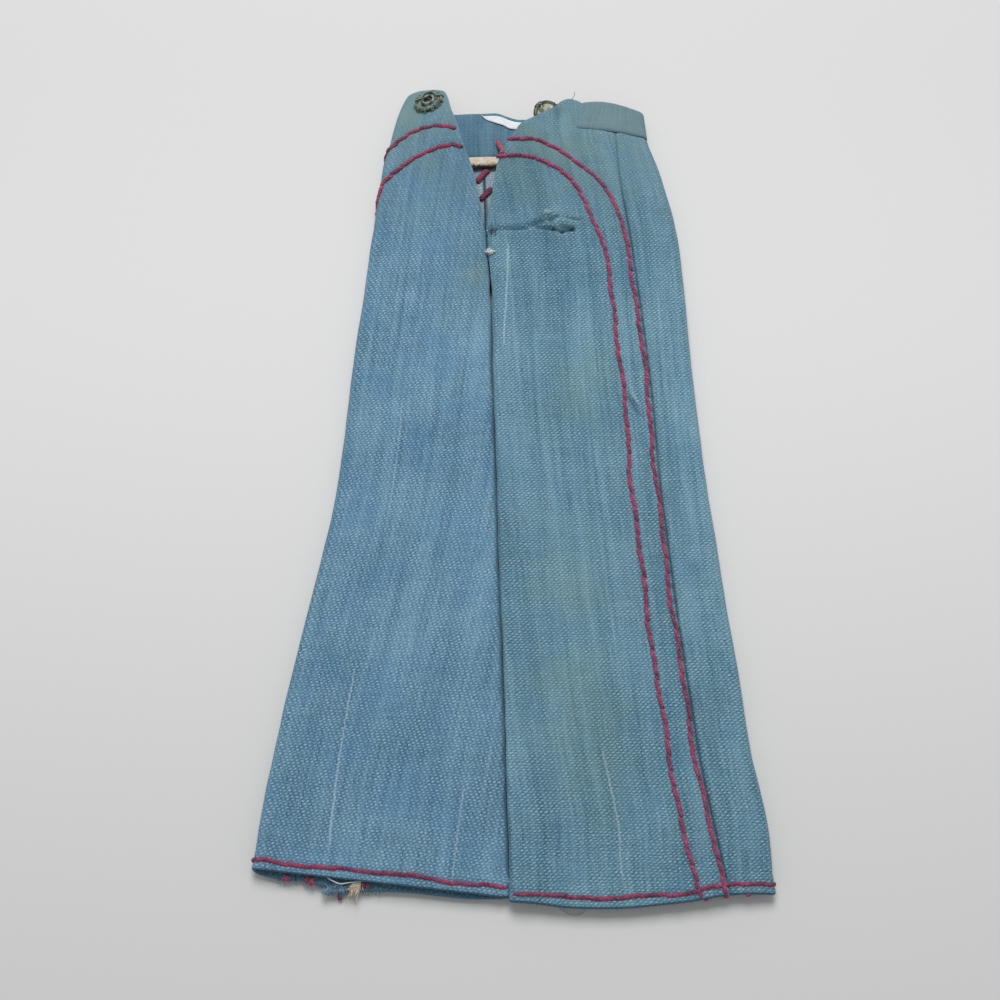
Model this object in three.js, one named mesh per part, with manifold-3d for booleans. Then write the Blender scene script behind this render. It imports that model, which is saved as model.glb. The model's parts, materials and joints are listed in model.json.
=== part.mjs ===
// A fashion doll's flared denim trousers, lying flat with the front up and the fly open.
// Millimetres. +X is to the viewer's right, +Y runs from the hems to the waist and +Z is up from the table.
// Left and right are the viewer's, not the wearer's.
// Each leg is a tube of cloth pressed flat: a front panel and a back panel that meet at the side seam
// and at the inseam.
// The two top corners of the front fold outwards along straight lines that start at the foot of the fly.

import * as THREE from "three";
import { mergeVertices } from "three/addons/utils/BufferGeometryUtils.js";
import Module from "manifold-3d";

const wasm = await Module();
wasm.setup();

// Cloth, tape and thread
const clothThickness = 0.4;
const bandThickness = 0.7;
const tapeThickness = 0.25;
const threadWidth = 0.8;
const threadHeight = 0.35;
const seamGap = 0.3; // between two pieces that meet edge to edge
const layerGap = 0.3; // between a piece and what lies on it

// Lengths of the stretches of a leg, from the hem up to the waist
const calfLength = 27;
const shinLength = 51;
const thighLength = 26;
const hipLength = 32;
const yokeLength = 17;
const topLength = 17;

// Reach of the left outline from the fly line at each station
const hemLeft = 46.3;
const calfLeft = 42.8;
const kneeLeft = 33.2;
const thighLeft = 30.9;
const hipLeft = 28.1;
const yokeLeft = 25.5;
const waistLeft = 21.3;

// Reach of the right outline from the fly line at each station
const hemRight = 50.3;
const calfRight = 47.4;
const kneeRight = 41.9;
const thighRight = 39.8;
const hipRight = 38.1;
const yokeRight = 35.1;
const waistRight = 31.8;

// How far the right back panel wraps round to the front at each station
const hemWrap = 8.2;
const calfWrap = 10;
const kneeWrap = 9.6;
const thighWrap = 9.2;
const hipWrap = 10.6;
const yokeWrap = 9.8;
const waistWrap = 7.4;
const leftWrap = 8; // how far the left front panel wraps round to the back

// The line between the legs leans a little: its place at the hems and at the foot of the fly
const centreAtHem = 1.9;
const centreAtFly = -2.3;

// Height of the front's middle surface above the table
const hemLoft = 2.8;
const kneeLoft = 3;
const seatLoft = 3.3;
const innerEdgeRise = 0.35; // the right leg's inner edge stands over the left one's
const innerEdgeWidth = 9;
const rightWaistRise = 1.9; // extra height of the front at the top of the right fold line

// The folds at the side edges, at the inner edges and along the inseam
const sideFoldReach = 1.6;
const innerFoldReach = 1;
const sideFoldSquareness = 2.2;
const innerFoldSquareness = 2.8;
const crotchDrop = 47; // from the waist down to where the legs part
const crotchBlend = 4;

// The underside lifts over the stitch rows that run there
const rowLift = 0.75;
const hemLiftLength = 6;
const sideLiftWidth = 10.5;
const sideLiftBlend = 4;

// Hems
const hemRiseOuterLeft = 6.6;
const hemRiseInnerLeft = 1.6;
const hemRiseInnerRight = 0.8;
const hemRiseOuterRight = 2.3;
const hemDipRight = 1.45;
const backPeek = 3.3; // how far the left back hem shows below the front hem
const peekWidth = 26;
const hemStitchInset = 1.6;

// Waist and band
const bandDepth = 6;
const waistDip = 1.7; // how much lower the waist line is at the side edges
const facingDepth = 11.6;
const facingReachLeft = 15;
const facingReachRight = 24;
const edgeTapeDepth = 2;
const edgeTapeInset = 2;
const tapeLength = 9;
const tapeDepth = 2.8;
const tapeInset = 1.2;

// Fly and its two flaps
const flyLength = 35; // from the waist line down to the foot of the fly
const leftFoldRun = 18; // how far left the left fold line runs on its way to the waist
const rightFoldRun = 19;
const leftFlapTilt = THREE.MathUtils.degToRad(19);
const rightFlapTilt = THREE.MathUtils.degToRad(11.5);
const flapFootRise = 1.8; // a flap starts this far above the foot of the fly
const leftEdgeRun = 9.1; // from the fly line to the top of the left flap's free edge
const leftEdgeTop = 35.2;
const leftEdgeBow = 1.1;
const leftFlapOverrun = 1.9; // how far the left flap runs past the waist
const leftFlapDome = 3.2;
const rightEdgeRun = 8.8;
const rightEdgeTop = 31;
const rightEdgeBow = 3.5;
const edgeBowSkew = 1.2; // a free edge bends most above its middle
const rightFlapDome = 1.9;

// Double rows of topstitching
const rowInset = 0.9; // from the side seam to the outer row
const rowSpacing = 4.9;
const pocketTop = 9.7; // from the waist line down to the outer row's level stretch
const pocketTopLeft = 5.4;
const pocketFall = 27; // height over which the outer row turns from level to upright
const innerDropRight = 3.7; // the inner row's level stretch lies this much lower
const innerDropLeft = 5.6;
const rowStartRight = 4.9; // from the fly line to the start of the outer right row
const rowStartLeft = 6.8;
const rowStartStep = 3; // the inner right row starts this much nearer the fly line
const rowSquarenessRight = 2.25;
const rowSquarenessLeft = 2.7;
const rowBreak = 1.4; // a row's two parts end this far from a fold line, so that they pass as it folds

// Tack at the foot of the fly
const tackLength = 1.8;
const tackWidth = 1.3;
const tackHeight = 0.55;

// Zigzag stitches of the centre back seam
const zigzagPitch = 4;
const zigzagWidth = 3;
const zigzagCount = 7;

// Snap fastener: socket half on the left flap, ball half under the right one
const snapRadius = 3.1;
const snapRimHeight = 0.55;
const snapRimWidth = 0.4;
const snapPlate = 0.25;
const snapHoleCircle = 2.15;
const snapHoleRadius = 0.36;
const snapHoleCount = 4;
const socketWall = 0.55;
const socketBossHeight = 1;
const springWire = 0.13; // radius of the wire
const ballRadius = 0.65;
const ballNeck = 0.45;
const ballNeckHeight = 0.05; // from the plate to the narrowest place
const ballDimple = 0.16;
const springGrip = ballNeck + springWire; // the spring's legs lie against the ball's neck
const socketBore = springGrip + springWire + seamGap;
const socketBossRadius = socketBore + socketWall;
const sewingThread = 0.3;
const stitchRise = 0.35;
const socketFromFold = 5.4;
const socketFromTop = 2.9;
const ballFromEdge = 4.2; // along the right flap's top edge, from its free corner
const ballAboveEdge = 0.8;

// A crumple in the cloth of the right front, beside the foot of the fly
const crumpleAcross = 13; // from the fly line to its middle
const crumpleUp = 5.5; // from the foot of the fly up to its middle
const crumpleHeight = 0.7;
const crumpleReach = 7.5;
const crumpleWidth = 5;

// How finely the surfaces are divided
const panelRows = 22;
const hemRowEasing = 1.3; // over 1 puts more rows near the hem
const frontRows = 30;
const frontRowEasing = 0.8; // under 1 puts more rows near the waist
const foldSteps = 5;
const quarterSteps = 2;
const rowStep = 5;
const rowTurn = THREE.MathUtils.degToRad(20); // a row also gets a point after each such turn round a fold
const uprightPlaces = 132;
const turnPlaces = 90;
const crossingTries = 8;
const domeSteepness = 4; // a flap's top edge curves within the top part of the flap only
const normalShare = 0.01;
const frontStart = 1; // places on a leg's loop, which starts and ends at the inner edge
const frontEnd = 2;
const sideEdge = 2.5;
const backStart = 3;
const backEnd = 4;
const loopEnd = 5;
const roundSides = 20;
const holeSides = 10;

const stationHeights = [calfLength, shinLength, thighLength, hipLength, yokeLength, topLength].reduce(
  (heights, length) => [...heights, heights.at(-1) + length],
  [0],
);
const waistHeight = stationHeights.at(-1);
const flyFootY = waistHeight - flyLength;
const crotchY = waistHeight - crotchDrop;

// A smooth curve through values given at rising places
function curveThrough(places, values) {
  const last = places.length - 1;
  const slopes = places.map((_, i) => {
    const before = Math.max(i - 1, 0);
    const after = Math.min(i + 1, last);
    return (values[after] - values[before]) / (places[after] - places[before]);
  });
  return (place) => {
    let i = 0;
    while (i < last - 1 && place > places[i + 1]) {
      i += 1;
    }
    const span = places[i + 1] - places[i];
    const t = THREE.MathUtils.clamp((place - places[i]) / span, 0, 1);
    const beyond = place - THREE.MathUtils.clamp(place, places[0], places[last]);
    const edgeSlope = beyond < 0 ? slopes[0] : slopes[last];
    const start = (1 + 2 * t) * (1 - t) ** 2 * values[i] + t * (1 - t) ** 2 * span * slopes[i];
    const end = t ** 2 * (3 - 2 * t) * values[i + 1] + t ** 2 * (t - 1) * span * slopes[i + 1];
    return start + end + beyond * edgeSlope;
  };
}

function smooth(value, from, to) {
  return THREE.MathUtils.smoothstep(value, from, to);
}

function centreX(y) {
  return THREE.MathUtils.lerp(centreAtHem, centreAtFly, y / flyFootY);
}

const leftWidths = [hemLeft, calfLeft, kneeLeft, thighLeft, hipLeft, yokeLeft, waistLeft];
const rightWidths = [hemRight, calfRight, kneeRight, thighRight, hipRight, yokeRight, waistRight];
const rightWraps = [hemWrap, calfWrap, kneeWrap, thighWrap, hipWrap, yokeWrap, waistWrap];

const leftLeg = {
  side: -1,
  reach: curveThrough(stationHeights, leftWidths),
  wrap: () => leftWrap,
  innerRise: -innerEdgeRise,
  foldRun: leftFoldRun,
  waistRise: 0,
  sideLift: rowLift,
  hemOuter: hemRiseOuterLeft,
  hemInner: hemRiseInnerLeft,
  hemDip: 0,
  peek: backPeek,
  crumple: () => 0,
};

const rightLeg = {
  side: 1,
  reach: curveThrough(stationHeights, rightWidths),
  wrap: curveThrough(stationHeights, rightWraps),
  innerRise: innerEdgeRise,
  foldRun: rightFoldRun,
  waistRise: rightWaistRise,
  sideLift: 0,
  hemOuter: hemRiseOuterRight,
  hemInner: hemRiseInnerRight,
  hemDip: hemDipRight,
  peek: 0,
  crumple: ridge,
};

const flyFoot = new THREE.Vector2(centreX(flyFootY), flyFootY);
const loft = curveThrough([0, calfLength + shinLength, flyFootY], [hemLoft, kneeLoft, seatLoft]);

// The waist line, a shallow arch from side edge to side edge
function waistLine(x) {
  const middle = (waistRight - waistLeft) / 2;
  const half = (waistRight + waistLeft) / 2;
  return waistHeight - waistDip * ((x - middle) / half) ** 2;
}

function bandLine(x) {
  return waistLine(x) - bandDepth;
}

// The straight line along which a flap folds, from the foot of the fly to the waist
function foldTop(leg) {
  const x = flyFoot.x + leg.side * leg.foldRun;
  return new THREE.Vector2(x, waistLine(x));
}

function foldDirection(leg) {
  return foldTop(leg).sub(flyFoot).normalize();
}

function foldX(leg, y) {
  const top = foldTop(leg);
  return flyFoot.x + ((top.x - flyFoot.x) * (y - flyFoot.y)) / (top.y - flyFoot.y);
}

function foldY(leg, x) {
  const top = foldTop(leg);
  return flyFoot.y + ((x - flyFoot.x) * (top.y - flyFoot.y)) / (top.x - flyFoot.x);
}

// Distance in plan from the fold line, positive on the flap's side
function fromFold(leg, x, y) {
  const along = foldDirection(leg);
  return leg.side * (along.x * (y - flyFoot.y) - along.y * (x - flyFoot.x));
}

function foldHeight(leg, y) {
  const climb = Math.max(0, (y - flyFoot.y) / (foldTop(leg).y - flyFoot.y));
  return seatLoft + leg.waistRise * climb;
}

// A low ridge across the leg
function ridge(x, y) {
  const across = THREE.MathUtils.clamp((x - flyFoot.x - crumpleAcross) / crumpleReach, -1, 1);
  const up = THREE.MathUtils.clamp((y - flyFoot.y - crumpleUp) / crumpleWidth, -1, 1);
  return crumpleHeight * Math.cos((across * Math.PI) / 2) * Math.cos((up * Math.PI) / 2) ** 2;
}

// Height of the front's middle surface
function frontHeight(leg, x, y) {
  const belowFly = smooth(flyFoot.y - y, 0, crotchBlend);
  const fromCentre = Math.abs(x - centreX(y));
  const edge = leg.innerRise * belowFly * (1 - smooth(fromCentre, 0, innerEdgeWidth));
  const outer = leg.reach(y) - sideFoldReach;
  const start = leg.side * foldX(leg, Math.max(y, flyFoot.y));
  const share = THREE.MathUtils.clamp((leg.side * x - start) / (outer - start), 0, 1);
  const waist = (foldHeight(leg, y) - seatLoft) * (1 - share ** 2);
  return loft(Math.min(y, flyFoot.y)) + edge + waist + leg.crumple(x, y);
}

// Height of the back's middle surface
function backHeight(leg, x, y) {
  const fromEdge = leg.reach(y) - leg.side * x;
  const belowBand = 1 - smooth(y, waistHeight - 2 * bandDepth, waistHeight - bandDepth - waistDip);
  const nearSide = 1 - smooth(fromEdge, sideLiftWidth, sideLiftWidth + sideLiftBlend);
  const side = leg.sideLift * belowBand * nearSide;
  const hem = rowLift * (1 - smooth(y - hemLine(leg, x), hemLiftLength, 2 * hemLiftLength));
  return clothThickness / 2 + Math.max(side, hem);
}

function hemLine(leg, x) {
  const share = THREE.MathUtils.clamp((leg.side * x) / leg.reach(0), 0, 1);
  const dip = leg.hemDip * 4 * share * (1 - share);
  return THREE.MathUtils.lerp(leg.hemInner, leg.hemOuter, share) - dip;
}

function backHemLine(leg, x) {
  const share = THREE.MathUtils.clamp((leg.reach(0) - leg.side * x) / peekWidth, 0, 1);
  return hemLine(leg, x) - leg.peek * Math.sin(Math.PI * share);
}

// A point of a fold: turn is 1 at its top, 0 at its outermost point and -1 at its bottom
function foldPoint(edge, side, reach, squareness, top, bottom, turn) {
  const angle = (turn * Math.PI) / 2;
  const across = Math.abs(Math.cos(angle)) ** (2 / squareness);
  const up = Math.sign(turn) * Math.abs(Math.sin(angle)) ** (2 / squareness);
  const x = edge - side * reach * (1 - across);
  const z = (top + bottom) / 2 + ((top - bottom) / 2) * up;
  return new THREE.Vector2(x, z);
}

// A point of a leg's middle surface at height y up the leg.
// Along runs 0 to 1 up the inner fold, 1 to 2 over the front, 2 to 3 round the side fold,
// 3 to 4 under the back and 4 to 5 up the inner fold again to the inseam.
function legPoint(leg, along, y) {
  const inner = centreX(y) + leg.side * (clothThickness + seamGap) / 2;
  const outer = leg.side * (leg.reach(y) - clothThickness / 2);
  const innerStart = inner + leg.side * innerFoldReach;
  const outerStart = outer - leg.side * sideFoldReach;
  if (along >= 1 && along <= 2) {
    const x = THREE.MathUtils.lerp(innerStart, outerStart, along - 1);
    return new THREE.Vector3(x, y, frontHeight(leg, x, y));
  }
  if (along >= 3 && along <= 4) {
    const x = THREE.MathUtils.lerp(outerStart, innerStart, along - 3);
    return new THREE.Vector3(x, y, backHeight(leg, x, y));
  }
  if (along > 2 && along < 3) {
    const top = frontHeight(leg, outerStart, y);
    const bottom = backHeight(leg, outerStart, y);
    const turn = 1 - 2 * (along - 2);
    const point = foldPoint(outer, leg.side, sideFoldReach, sideFoldSquareness, top, bottom, turn);
    return new THREE.Vector3(point.x, y, point.y);
  }
  const top = frontHeight(leg, innerStart, y);
  const bottom = backHeight(leg, innerStart, y);
  const turn = along < 1 ? along : along - 5;
  const folded = foldPoint(inner, -leg.side, innerFoldReach, innerFoldSquareness, top, bottom, turn);
  const flatX = inner + leg.side * innerFoldReach * Math.abs(turn);
  const closed = 1 - smooth(y, crotchY - crotchBlend, crotchY + crotchBlend);
  const x = THREE.MathUtils.lerp(flatX, folded.x, closed);
  const z = THREE.MathUtils.lerp(turn > 0 ? top : bottom, folded.y, closed);
  return new THREE.Vector3(x, y, z);
}

// Where along the leg's loop a place at x lies, on the front or on the back
function frontAlong(leg, x, y) {
  const start = legPoint(leg, 1, y).x;
  const end = legPoint(leg, 2, y).x;
  return 1 + (x - start) / (end - start);
}

function backAlong(leg, x, y) {
  const start = legPoint(leg, 3, y).x;
  const end = legPoint(leg, backEnd, y).x;
  return 3 + (x - start) / (end - start);
}

// The place where a line across the leg is crossed by a column of the loop
function crossing(pointAt, line) {
  let y = line(pointAt(flyFoot.y).x);
  for (let step = 0; step < crossingTries; step += 1) {
    y = line(pointAt(y).x);
  }
  return y;
}

// A closed sheet of even thickness about a grid of middle points
function sheetSolid(grid, thickness) {
  const columns = grid.length;
  const rows = grid[0].length;
  const positions = [];
  const at = (i, j) => grid[THREE.MathUtils.clamp(i, 0, columns - 1)][THREE.MathUtils.clamp(j, 0, rows - 1)];
  for (const sign of [1, -1]) {
    for (let i = 0; i < columns; i += 1) {
      for (let j = 0; j < rows; j += 1) {
        const across = at(i + 1, j).clone().sub(at(i - 1, j));
        const upward = at(i, j + 1).clone().sub(at(i, j - 1));
        const normal = across.cross(upward).normalize();
        positions.push(...at(i, j).clone().addScaledVector(normal, (sign * thickness) / 2).toArray());
      }
    }
  }
  const under = columns * rows;
  const index = (i, j) => i * rows + j;
  const faces = [];
  const quad = (a, b, c, d) => faces.push(a, b, c, a, c, d);
  for (let i = 0; i < columns - 1; i += 1) {
    for (let j = 0; j < rows - 1; j += 1) {
      const corners = [index(i, j), index(i + 1, j), index(i + 1, j + 1), index(i, j + 1)];
      quad(...corners);
      quad(...corners.map((corner) => corner + under).reverse());
    }
  }
  for (let i = 0; i < columns - 1; i += 1) {
    quad(index(i, 0), index(i, 0) + under, index(i + 1, 0) + under, index(i + 1, 0));
    const far = index(i, rows - 1);
    const next = index(i + 1, rows - 1);
    quad(far, next, next + under, far + under);
  }
  for (let j = 0; j < rows - 1; j += 1) {
    quad(index(0, j), index(0, j + 1), index(0, j + 1) + under, index(0, j) + under);
    const far = index(columns - 1, j);
    quad(far, far + under, far + 1 + under, far + 1);
  }
  return closedGeometry(positions, faces);
}

function closedGeometry(positions, faces) {
  const geometry = new THREE.BufferGeometry();
  geometry.setAttribute("position", new THREE.Float32BufferAttribute(positions, 3));
  geometry.setIndex(faces);
  geometry.computeVertexNormals();
  return geometry;
}

// Even steps from one value to another, without the first
function stretch(from, to, steps) {
  return Array.from({ length: steps }, (_, i) => (y) => {
    const start = typeof from === "function" ? from(y) : from;
    const end = typeof to === "function" ? to(y) : to;
    return THREE.MathUtils.lerp(start, end, (i + 1) / steps);
  });
}

// A panel is a run of columns round the leg's loop, each from the hem up to the panel's top line
function panelSolid(leg, columns, topLine, rows = panelRows, easing = hemRowEasing) {
  const grid = columns.map((along) => {
    const pointAt = (y) => legPoint(leg, along(y), y);
    const place = along(flyFoot.y);
    const low = crossing(pointAt, (x) => (place > sideEdge ? backHemLine(leg, x) : hemLine(leg, x)));
    const high = crossing(pointAt, (x) => topLine(x, place));
    return Array.from({ length: rows + 1 }, (_, j) => {
      const share = (j / rows) ** easing;
      return pointAt(THREE.MathUtils.lerp(low, high, share));
    });
  });
  return sheetSolid(grid, clothThickness);
}

// The inseam's two edges stop short of each other
function inseamTrim(leg, y) {
  const half = (legPoint(leg, frontStart, y).z - legPoint(leg, backEnd, y).z) / 2;
  return seamGap / (half * Math.PI);
}

function seamAlongFront(leg, offset) {
  return (y) => frontAlong(leg, leg.side * (leg.reach(y) - leg.wrap(y) + offset), y);
}

function seamAlongBack(leg, offset) {
  return (y) => backAlong(leg, leg.side * (leg.reach(y) - leg.wrap(y) + offset), y);
}

// The front's top edge follows the fold line, then the leg's own top line
function frontTopLine(leg, plainTop) {
  const slope = foldDirection(leg).y / Math.abs(foldDirection(leg).x);
  const setBack = (seamGap / 2) * Math.hypot(1, slope);
  return (x, along) => {
    const onFront = along <= 2;
    return onFront ? Math.min(foldY(leg, x) - setBack, plainTop(x)) : plainTop(x);
  };
}

function frontPanelRight() {
  const trim = (y) => inseamTrim(rightLeg, y);
  const seam = seamAlongFront(rightLeg, -seamGap / 2);
  const columns = [
    trim,
    ...stretch(trim, frontStart, quarterSteps),
    ...stretch(frontStart, seam, 10),
  ];
  const topLine = frontTopLine(rightLeg, (x) => bandLine(x) - seamGap / 2);
  return panelSolid(rightLeg, columns, topLine, frontRows, frontRowEasing);
}

function backPanelRight() {
  const seam = seamAlongFront(rightLeg, seamGap / 2);
  const end = (y) => loopEnd - inseamTrim(rightLeg, y);
  const columns = [
    seam,
    ...stretch(seam, frontEnd, 3),
    ...stretch(frontEnd, backStart, foldSteps),
    ...stretch(backStart, backEnd, 9),
    ...stretch(backEnd, end, quarterSteps),
  ];
  return panelSolid(rightLeg, columns, (x) => bandLine(x) - seamGap / 2);
}

function frontPanelLeft() {
  const trim = (y) => inseamTrim(leftLeg, y);
  const seam = seamAlongBack(leftLeg, seamGap / 2);
  const columns = [
    trim,
    ...stretch(trim, frontStart, quarterSteps),
    ...stretch(frontStart, frontEnd, 11),
    ...stretch(frontEnd, backStart, foldSteps),
    ...stretch(backStart, seam, 2),
  ];
  return panelSolid(leftLeg, columns, frontTopLine(leftLeg, waistLine));
}

function backPanelLeft() {
  const seam = seamAlongBack(leftLeg, -seamGap / 2);
  const end = (y) => loopEnd - inseamTrim(leftLeg, y);
  const columns = [seam, ...stretch(seam, backEnd, 9), ...stretch(backEnd, end, quarterSteps)];
  return panelSolid(leftLeg, columns, (x) => bandLine(x) - seamGap / 2);
}

// The waistband runs from the right fold line, round the right side and across the back
function waistband() {
  const bandRows = 3;
  const start = (y) => frontAlong(rightLeg, foldX(rightLeg, y) + seamGap, y);
  const extra = (bandThickness - clothThickness) / 2;
  const frontAndFold = [
    start,
    ...stretch(start, frontEnd, 4),
    ...stretch(frontEnd, backStart, foldSteps),
  ];
  const wrapped = frontAndFold.map((along) => (y) => {
    const point = legPoint(rightLeg, along(y), y);
    const turn = smooth(along(y), 2, 3);
    point.z += THREE.MathUtils.lerp(0, extra, turn);
    return point;
  });
  const backEnd = (y) => -(leftLeg.reach(y) - leftLeg.wrap(y) - seamGap / 2);
  const backSteps = 14;
  const back = Array.from({ length: backSteps }, (_, i) => (y) => {
    const from = legPoint(rightLeg, 3, y).x;
    const x = THREE.MathUtils.lerp(from, backEnd(y), (i + 1) / backSteps);
    const leg = x < centreX(y) ? leftLeg : rightLeg;
    return new THREE.Vector3(x, y, backHeight(leg, x, y) + extra);
  });
  const grid = [...wrapped, ...back].map((pointAt) => {
    const low = crossing(pointAt, (x) => bandLine(x) + seamGap / 2);
    const high = crossing(pointAt, waistLine);
    const heightAt = (j) => THREE.MathUtils.lerp(low, high, j / bandRows);
    return Array.from({ length: bandRows + 1 }, (_, j) => pointAt(heightAt(j)));
  });
  return sheetSolid(grid, bandThickness);
}

// Height of a flap's middle surface: a plane through the fold line, tilted up
function flapHeight(flap, x, y) {
  return foldHeight(flap.leg, y) + Math.tan(flap.tilt) * Math.max(0, fromFold(flap.leg, x, y));
}

const leftFlap = {
  leg: leftLeg,
  tilt: leftFlapTilt,
  edge: new THREE.Vector2(flyFoot.x - leftEdgeRun, flyFoot.y + leftEdgeTop),
  bow: leftEdgeBow,
  overrun: leftFlapOverrun,
  dome: leftFlapDome,
};

const rightFlap = {
  leg: rightLeg,
  tilt: rightFlapTilt,
  edge: new THREE.Vector2(flyFoot.x + rightEdgeRun, flyFoot.y + rightEdgeTop),
  bow: rightEdgeBow,
  overrun: 0,
  dome: rightFlapDome,
};

// A flap is ruled from its fold line to its free edge, which bows towards the fly line
function flapPlan(flap, across, up) {
  const direction = foldDirection(flap.leg);
  const square = new THREE.Vector2(-direction.y, direction.x).multiplyScalar(flap.leg.side);
  const foldStart = flyFoot.clone().addScaledVector(direction, flapFootRise / direction.y);
  foldStart.addScaledVector(square, seamGap / 2);
  const foldEnd = foldTop(flap.leg).addScaledVector(direction, flap.overrun);
  foldEnd.addScaledVector(square, seamGap / 2);
  const onFold = foldStart.clone().lerp(foldEnd, up);
  const edgeStart = new THREE.Vector2(flyFoot.x + (flap.leg.side * seamGap) / 2, foldStart.y);
  const edgeLine = flap.edge.clone().sub(edgeStart);
  const bowOut = new THREE.Vector2(-edgeLine.y, edgeLine.x).normalize().multiplyScalar(flap.leg.side);
  const bow = flap.bow * Math.sin(Math.PI * up ** edgeBowSkew);
  const onEdge = edgeStart.clone().addScaledVector(edgeLine, up).addScaledVector(bowOut, bow);
  const top = direction.clone().multiplyScalar(flap.dome * Math.sin(Math.PI * across) * up ** domeSteepness);
  return onFold.lerp(onEdge, across).add(top);
}

function flapPoint(flap, across, up) {
  const plan = flapPlan(flap, across, up);
  return new THREE.Vector3(plan.x, plan.y, flapHeight(flap, plan.x, plan.y));
}

function flapSolid(flap) {
  const acrossSteps = 8;
  const upSteps = 10;
  const grid = Array.from({ length: acrossSteps + 1 }, (_, i) =>
    Array.from({ length: upSteps + 1 }, (_, j) => flapPoint(flap, i / acrossSteps, j / upSteps)),
  );
  return sheetSolid(grid, clothThickness);
}

function flapNormal(flap) {
  const a = foldDirection(flap.leg);
  const rise = flap.leg.waistRise / (foldTop(flap.leg).y - flyFoot.y);
  const alongFold = new THREE.Vector3(a.x, a.y, rise * a.y);
  const square = new THREE.Vector3(-a.y, a.x, 0).multiplyScalar(flap.leg.side);
  square.z = Math.tan(flap.tilt) + rise * square.y;
  return square.cross(alongFold).multiplyScalar(flap.leg.side).negate().normalize();
}

// A flat ribbon of thread along points that lie on a cloth surface, each with its outward normal
function threadSolid(route) {
  const positions = [];
  const faces = [];
  const lift = clothThickness / 2 + layerGap + threadHeight / 2;
  const last = route.length - 1;
  route.forEach(({ point, normal }, i) => {
    const before = route[Math.max(i - 1, 0)].point;
    const after = route[Math.min(i + 1, last)].point;
    const forward = after.clone().sub(before).normalize();
    const sideways = new THREE.Vector3().crossVectors(normal, forward).normalize();
    const middle = point.clone().addScaledVector(normal, lift);
    for (const [across, up] of [[1, 0], [0, 1], [-1, 0], [0, -1]]) {
      const corner = middle.clone();
      corner.addScaledVector(sideways, (across * threadWidth) / 2);
      corner.addScaledVector(normal, (up * threadHeight) / 2);
      positions.push(...corner.toArray());
    }
  });
  for (let i = 0; i < last; i += 1) {
    for (let k = 0; k < 4; k += 1) {
      const a = 4 * i + k;
      const b = 4 * i + ((k + 1) % 4);
      faces.push(a, b, b + 4, a, b + 4, a + 4);
    }
  }
  const end = 4 * last;
  faces.push(0, 2, 1, 0, 3, 2, end, end + 1, end + 2, end, end + 2, end + 3);
  return closedGeometry(positions, faces);
}

// The outward normal of a leg at a place of its loop
function legNormal(leg, along, y) {
  const across = legPoint(leg, along + normalShare, y).sub(legPoint(leg, along - normalShare, y));
  const tall = clothThickness;
  const upward = legPoint(leg, along, y + tall).sub(legPoint(leg, along, y - tall));
  return across.cross(upward).multiplyScalar(leg.side).normalize();
}

// Length of a quarter of the side fold
function foldQuarter(leg, y) {
  const half = (legPoint(leg, 2, y).z - legPoint(leg, 3, y).z) / 2;
  return (Math.PI / 2) * Math.sqrt((sideFoldReach ** 2 + half ** 2) / 2);
}

// Distance round a leg from the side edge: positive over the front, negative under the back
function girthAlong(leg, girth, y) {
  const quarter = foldQuarter(leg, y);
  const edge = leg.reach(y) - clothThickness / 2 - sideFoldReach;
  if (girth > quarter) {
    return frontAlong(leg, leg.side * (edge - (girth - quarter)), y);
  }
  if (girth < -quarter) {
    return backAlong(leg, leg.side * (edge - (-girth - quarter)), y);
  }
  return sideEdge - girth / (2 * quarter);
}

// The girth of a place whose distance from the outline is measured straight across
function girthOf(leg, inset, y) {
  return inset + foldQuarter(leg, y) - sideFoldReach - clothThickness / 2;
}

// A stitch row comes up beside the side seam and turns level towards the fly.
// The route's places are given as girth and height.
function rowRoute(leg, row) {
  const turnY = row.level - row.fall;
  const seamSide = leg === leftLeg ? -1 : 1;
  const uprightGirth = (y) => seamSide * girthOf(leg, leg.wrap(y), y) + row.fromSeam;
  const startGirth = girthOf(leg, leg.reach(row.level) - leg.side * row.startX, row.level);
  const places = [];
  const low = hemLine(leg, leg.side * leg.reach(0)) + hemStitchInset + threadWidth + seamGap;
  for (let i = 0; i < uprightPlaces; i += 1) {
    const y = THREE.MathUtils.lerp(low, turnY, i / uprightPlaces);
    places.push([uprightGirth(y), y]);
  }
  for (let i = 0; i <= turnPlaces; i += 1) {
    const angle = (i / turnPlaces) * (Math.PI / 2);
    const across = 1 - Math.cos(angle) ** (2 / row.squareness);
    const y = turnY + row.fall * Math.sin(angle) ** (2 / row.squareness);
    places.push([THREE.MathUtils.lerp(uprightGirth(turnY), startGirth, across), y]);
  }
  return places;
}

// Some of a route's places, evenly spaced but closer where it turns round a fold, with both its ends
function thinned(route) {
  const kept = [route[0]];
  let travelled = 0;
  route.slice(1).forEach((place, i) => {
    travelled += place.point.distanceTo(route[i].point);
    const turned = place.normal.angleTo(kept.at(-1).normal) > rowTurn;
    if (travelled >= rowStep || turned || i === route.length - 2) {
      kept.push(place);
      travelled = 0;
    }
  });
  return kept;
}

// The row's part on the leg stops at the fold line and the rest lies on the flap
function rowParts(flap, row) {
  const { leg } = flap;
  const onLeg = [];
  const onFlap = [];
  for (const [girth, y] of rowRoute(leg, row)) {
    const along = girthAlong(leg, girth, y);
    const point = legPoint(leg, along, y);
    const past = y > flyFoot.y && along < 2 ? fromFold(leg, point.x, y) : -rowBreak;
    if (past <= -rowBreak) {
      onLeg.push({ point, normal: legNormal(leg, along, y) });
    } else if (past >= rowBreak) {
      point.z = flapHeight(flap, point.x, y);
      onFlap.push({ point, normal: flapNormal(flap) });
    }
  }
  return { onLeg: thinned(onLeg), onFlap: thinned(onFlap) };
}

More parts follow.
